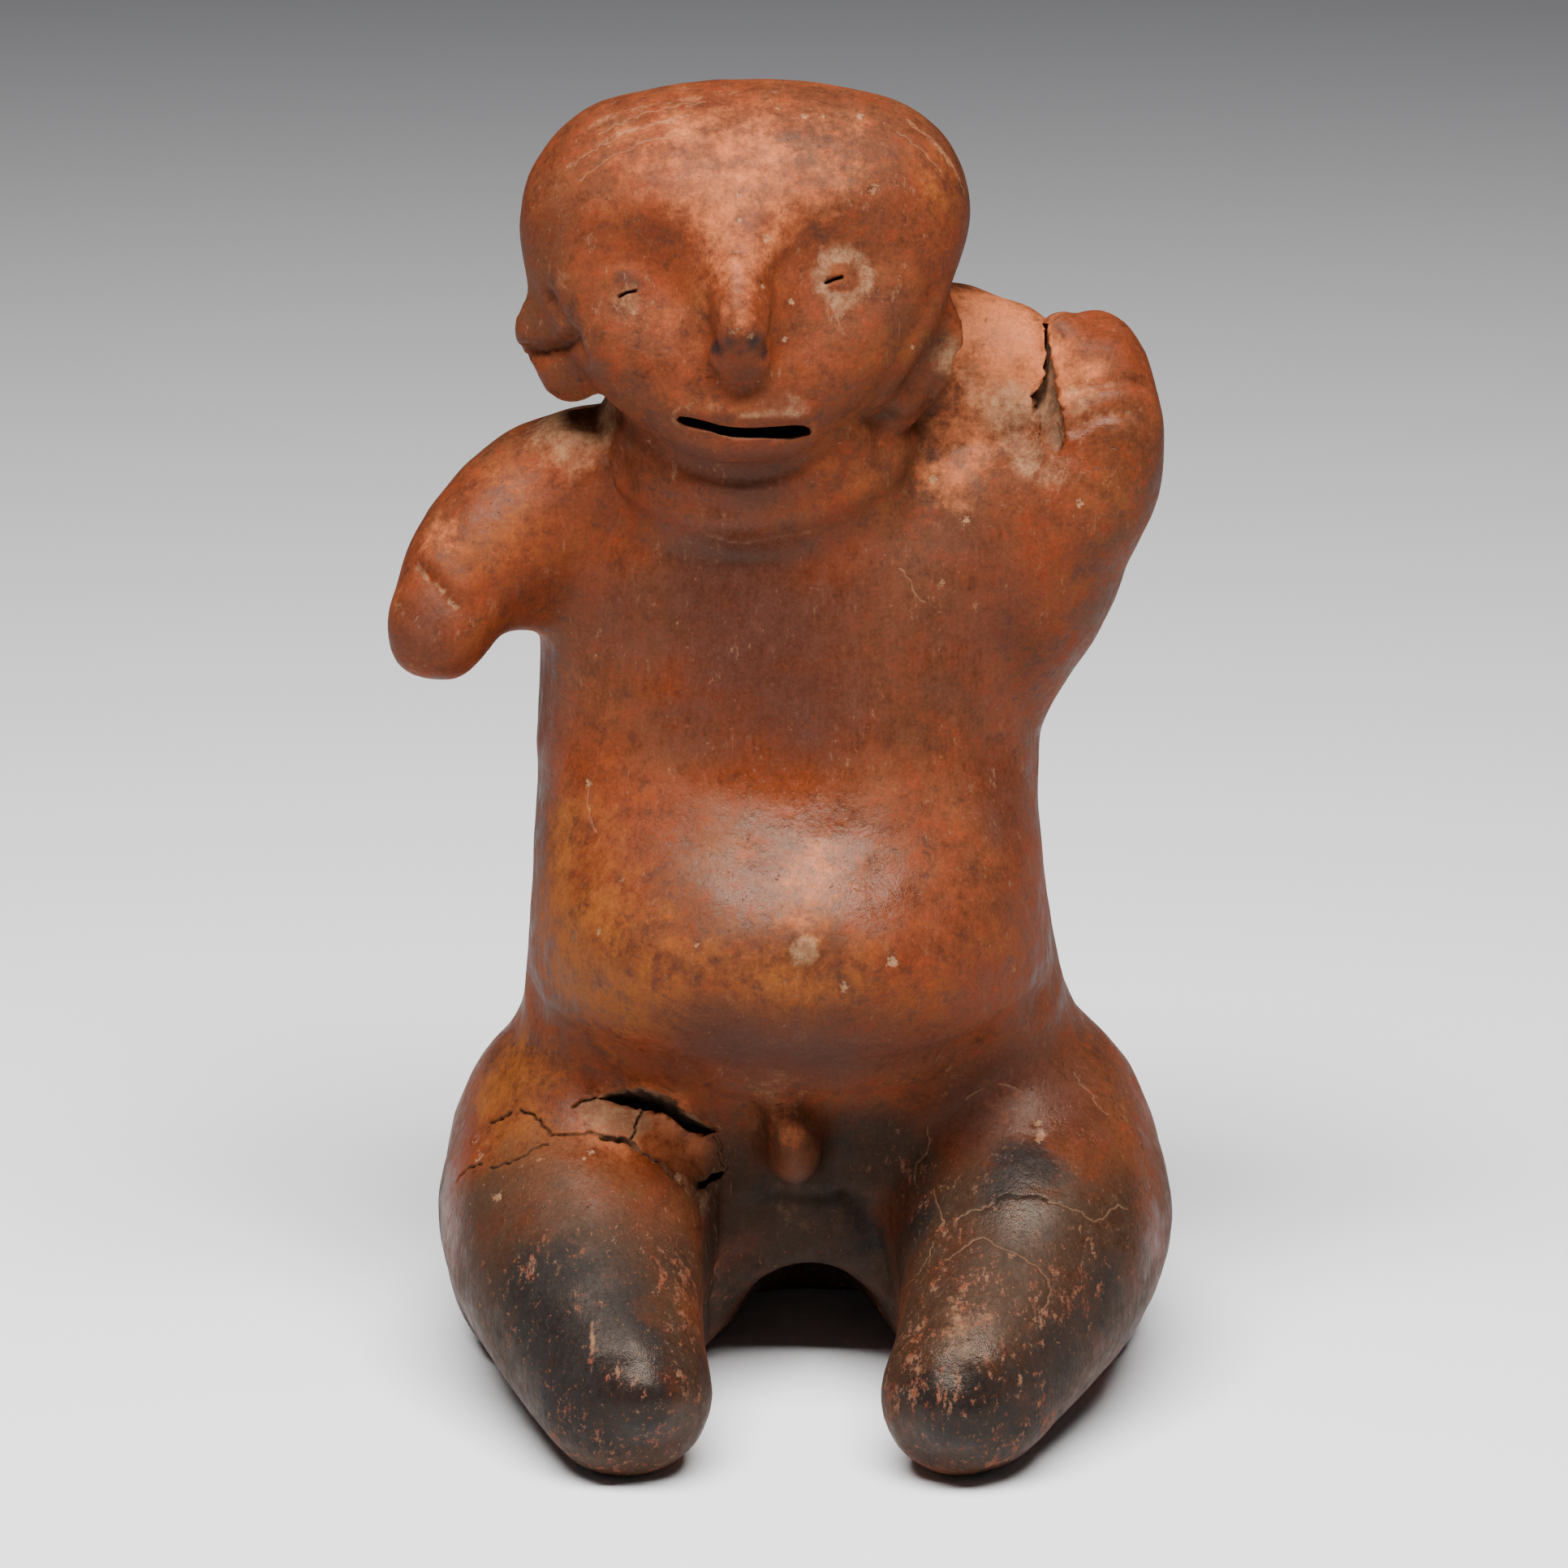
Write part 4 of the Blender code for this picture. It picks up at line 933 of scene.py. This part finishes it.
def burnished_clay():
    material = bpy.data.materials.new("burnished_clay")
    material.use_nodes = True
    n = Nodes(material)
    cloud = n.noise(22, 6, 0.62)
    mottle = n.noise(75, 9, 0.68)
    blotch = n.noise(230, 7, 0.72)
    speckle = n.noise(420, 6, 0.75)
    grit = n.noise(1150, 3, 0.75)
    heights = n.tree.nodes.new("ShaderNodeSeparateXYZ")
    n.join(n.place, heights.inputs[0])
    upright = n.noise(800, 4, 0.65, n.moved((1.0, 1.0, 0.09), (4, 7, 0)))
    level = n.noise(800, 4, 0.65, n.moved((0.10, 1.0, 0.8), (0, 9, 0)))
    on_head = n.between(heights.outputs["Z"], *NECK_HEIGHT)
    strokes = n.maths("MULTIPLY_ADD", n.maths("SUBTRACT", level, upright), on_head, upright)

    def patch(name, spread=0.9, low=0.15, high=0.95):
        """A tint that fades out over a broad, frayed edge."""
        frayed = n.attribute(name)
        for pattern, share in ((mottle, 2.0), (blotch, 1.0), (speckle, 0.6)):
            frayed = n.swing(pattern, spread * share, frayed)
        return n.maths("MULTIPLY", n.between(frayed, low, high), n.between(n.attribute(name), 0.02, 0.3))

    colour = n.mix(n.between(cloud, 0.36, 0.64), SLIP_BROWN, SLIP_RED)
    colour = n.mix(n.between(mottle, 0.48, 0.72, 0.0, 0.45), colour, SLIP_OCHRE)
    colour = n.mix(n.between(blotch, 0.50, 0.66, 0.0, 0.5), colour, SLIP_FLAME)
    colour = n.mix(patch("flame"), colour, SLIP_FLAME)
    colour = n.mix(patch("ochre"), colour, SLIP_OCHRE)
    colour = n.mix(n.between(blotch, 0.48, 0.34, 0.0, 0.55), colour, SLIP_MAROON_AND_SHADE)
    # Maroon slip, with painted shade on the chest and under the chin and belly
    colour = n.mix(patch("maroon_and_shade", 0.6), colour, SLIP_MAROON_AND_SHADE)
    # Worn pale slip, with a painted highlight on the belly
    colour = n.mix(n.maths("MULTIPLY", patch("salmon_and_highlight", 0.8), 0.9), colour, WORN_SALMON_AND_HIGHLIGHT)
    # Umber, and painted shade low on the legs, in the groin and under the arch
    umber_and_shade = patch("umber_and_shade", 0.7)
    colour = n.mix(n.maths("MULTIPLY", umber_and_shade, 0.93), colour, UMBER_AND_PAINTED_SHADE)
    # Soot, and painted shade under the seat and in the groin
    soot_and_shade = patch("soot_and_shade", 0.85)
    colour = n.mix(n.maths("MULTIPLY", soot_and_shade, 0.92), colour, SOOT_AND_PAINTED_SHADE)

    # Dark grains
    grains = n.between(n.noise(640, 4, 0.8), 0.63, 0.70)
    colour = n.mix(n.maths("MULTIPLY", grains, 0.65), colour, UMBER_AND_PAINTED_SHADE)

    # Flakes and specks where the dark skin has worn off the legs, drawn out along them
    flaked = n.noise(200, 8, 0.80, n.moved((1.0, 0.65, 0.5), (30, 0, 0)))
    specked = n.noise(640, 5, 0.80, n.moved((1.0, 0.75, 0.65), (30, 5, 0)))
    # Umber and soot, painted shade among them, raise the number of flakes
    dark_skin_and_shade = n.maths("MULTIPLY", n.maths("MAXIMUM", umber_and_shade, soot_and_shade), 0.10)
    wear = n.maths("ADD", n.attribute("worn"), dark_skin_and_shade)
    flakes = n.between(n.maths("MULTIPLY_ADD", wear, 0.097, flaked), 0.635, 0.680)
    specks = n.between(n.maths("MULTIPLY_ADD", wear, 0.070, specked), 0.63, 0.68)
    fleck = n.maths("MAXIMUM", flakes, specks)
    bare = n.mix(n.between(blotch, 0.44, 0.58), BARE_RED, BARE_TAN)
    colour = n.mix(n.maths("MULTIPLY", fleck, 0.85), colour, bare)

    # Lighter and darker grain of the slip
    shade = 1.0
    for pattern, share in ((mottle, 0.8), (blotch, 0.8), (speckle, 0.6), (grit, 1.0), (strokes, 0.4)):
        shade = n.swing(pattern, share, shade)
    colour = n.shaded(colour, shade)

    # Scuffs and fine scratches
    scuffed = n.noise(260, 8, 0.85, n.moved((1.0, 1.0, 0.5), (12, 24, 0)))
    scuffs = n.between(n.maths("MULTIPLY_ADD", n.attribute("soil"), 0.10, scuffed), 0.588, 0.632)
    scuffed_parts = n.noise(38, 4, vector=n.moved(shift=(3, 1, 2)))
    scuffs = n.maths("MULTIPLY", scuffs, n.between(scuffed_parts, 0.38, 0.60))
    scratches = n.between(upright, 0.655, 0.70)
    scuffs = n.maths("MAXIMUM", scuffs, n.maths("MULTIPLY", scratches, n.between(mottle, 0.45, 0.6)))
    colour = n.mix(n.maths("MULTIPLY", scuffs, 0.6), colour, SOIL_TAN)

    # Soil in the seams and round the eye, and pale paste in the chips
    soil = patch("soil", 0.8, 0.25, 0.85)
    earth = n.mix(n.between(speckle, 0.42, 0.62), SOIL_TAN, SOIL_PALE)
    colour = n.mix(n.maths("MULTIPLY", soil, 0.7), colour, earth)
    chips = n.swing(grit, 3.0, n.swing(speckle, 2.2, n.attribute("chip")))
    chips = n.maths("MULTIPLY", n.between(chips, 0.6, 1.0), n.between(n.attribute("chip"), 0.0, 0.25))
    chips = n.maths("MAXIMUM", chips, n.between(n.attribute("hairline"), 0.5, 0.95, 0.0, 0.6))
    colour = n.mix(n.maths("MULTIPLY", chips, 0.7), colour, earth)

    # Cracks and the inside of the openings: umber along the crack edges, painted shade near-black in the
    # crack bottoms, bare paste just inside the openings, then painted shade, umber and near-black, deeper
    # in
    crack = n.attribute("crack")
    colour = n.mix(n.between(crack, 0.3, 0.65, 0.0, 0.5), colour, UMBER_AND_PAINTED_SHADE)
    colour = n.mix(n.between(crack, 0.62, 0.9), colour, PAINTED_HOLLOW_SHADE)
    depth = n.attribute("depth")
    paste = n.mix(n.between(blotch, 0.4, 0.6), PASTE, SOIL_TAN)
    colour = n.mix(n.between(depth, 0.2, 0.6), colour, paste)
    colour = n.mix(n.between(depth, 1.2, 3.0), colour, UMBER_AND_PAINTED_SHADE)
    colour = n.mix(n.between(depth, 3.0, 7.0), colour, PAINTED_HOLLOW_SHADE)
    n.join(colour, n.shader.inputs["Base Color"])

    # The burnish is dull where soil, wear and breaks are
    dull = n.maths("MAXIMUM", n.maths("MAXIMUM", soil, chips), n.between(depth, 0.2, 0.6))
    dull = n.maths("MAXIMUM", dull, n.maths("MULTIPLY", n.maths("MAXIMUM", scuffs, fleck), 0.7))
    dull = n.maths("MAXIMUM", dull, n.maths("MULTIPLY", n.between(crack, 0.1, 0.4), 0.9))
    polish = n.between(n.attribute("gloss"), 0.0, 0.95, ROUGHNESS_DULL, ROUGHNESS_GLOSSY)
    for pattern, share in ((blotch, 0.7), (mottle, 0.6), (strokes, 0.5)):
        polish = n.swing(pattern, share, polish)
    roughness = n.maths("MULTIPLY_ADD", dull, 0.35, polish, clamp=True)
    n.join(roughness, n.shader.inputs["Roughness"])
    n.shader.inputs["Specular IOR Level"].default_value = SHINE
    n.shader.inputs["Specular Tint"].default_value = SHINE_TINT

    # Relief too fine for the mesh: tool strokes, pits, soil crust
    normal = n.bump(n.noise(110, 5, 0.6, n.moved((1.0, 1.0, 0.5), (4, 7, 0))), 0.35, 0.0010)
    normal = n.bump(blotch, 0.35, 0.0006, normal)
    normal = n.bump(strokes, 0.25, 0.0003, normal)
    normal = n.bump(n.maths("MULTIPLY", grains, -1.0), 0.35, 0.0004, normal)
    crust = n.maths("MULTIPLY", grit, n.maths("ADD", 0.35, n.attribute("soil")))
    normal = n.bump(crust, 0.35, 0.0005, normal)
    n.join(normal, n.shader.inputs["Normal"])
    return material


# Studio


# One soft box overhead, a little to the front: place, aim and size in metres, power in watts
SOFTBOX_PLACE = (-0.03, -0.42, 1.2)
SOFTBOX_AIM = (0, 0.02, 0.1)
SOFTBOX_SIZE = (1.15, 0.34)
SOFTBOX_POWER = 53
SOFTBOX_COLOUR = (1.0, 0.965, 0.925)
ROOM_COLOUR = (0.80, 0.80, 0.83, 1)
ROOM_STRENGTH = 0.055

# A sheet of pale paper whose colour darkens from front to back over these depths: painted shade of the
# light falling off
PAPER_SIZE = (5.0, 6.0)
PAPER_NEAR = (0.90, 0.93, 0.97)
PAPER_FAR_PAINTED_SHADE = (0.275, 0.285, 0.31)
PAPER_SHADE = (-0.15, 1.6)
PAPER_ROUGHNESS = 0.85


def add_softbox():
    lamp = bpy.data.lights.new("overhead_softbox", "AREA")
    lamp.shape = "RECTANGLE"
    lamp.size, lamp.size_y = SOFTBOX_SIZE
    lamp.energy = SOFTBOX_POWER
    lamp.color = SOFTBOX_COLOUR
    light = bpy.data.objects.new("overhead_softbox", lamp)
    bpy.context.scene.collection.objects.link(light)
    light.location = SOFTBOX_PLACE
    towards = Vector(SOFTBOX_AIM) - Vector(SOFTBOX_PLACE)
    light.rotation_euler = towards.to_track_quat("-Z", "Y").to_euler()


def add_room_light():
    world = bpy.data.worlds.new("studio")
    bpy.context.scene.world = world
    world.use_nodes = True
    background = world.node_tree.nodes["Background"]
    background.inputs["Color"].default_value = ROOM_COLOUR
    background.inputs["Strength"].default_value = ROOM_STRENGTH


def add_floor():
    """One level sheet of pale paper under the figure and far behind it."""
    deselect_all()
    bpy.ops.mesh.primitive_plane_add(size=1, location=(0, 0, 0))
    floor = bpy.context.object
    floor.name = "floor"
    floor.data.transform(Matrix.Diagonal((*PAPER_SIZE, 1.0, 1.0)))
    paper = bpy.data.materials.new("paper")
    paper.use_nodes = True
    n = Nodes(paper)
    separate = paper.node_tree.nodes.new("ShaderNodeSeparateXYZ")
    n.join(n.place, separate.inputs[0])
    # Painted shade: the paper darkens towards the back
    shade = n.between(separate.outputs["Y"], *PAPER_SHADE)
    n.join(n.mix(shade, PAPER_NEAR, PAPER_FAR_PAINTED_SHADE), n.shader.inputs["Base Color"])
    n.shader.inputs["Roughness"].default_value = PAPER_ROUGHNESS
    floor.data.materials.append(paper)


# The figure, then the room round it

add_camera()
clay = clay_skin(solid)
first_tree = tree_of(clay)
press_spots(clay, first_tree, FACE_SPOTS + SHOULDER_SPOTS + BELLY_SPOTS + FOOT_SPOTS)
body_lines = SHOULDER_LINES + STUMP_LINES + BELLY_LINES
draw_lines(clay, first_tree, FACE_LINES + NECK_LINES + EAR_LINES + body_lines)
burnish(clay, first_tree)
worked_tree = tree_of(clay)
crack_clay(clay, worked_tree)
cut_openings(clay, worked_tree)
write_tints(clay, worked_tree)
clay.data.materials.clear()
clay.data.materials.append(burnished_clay())
pick(clay)
bpy.ops.object.shade_smooth()
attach(clay, "root")
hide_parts("seated_figure")
add_softbox()
add_room_light()
add_floor()
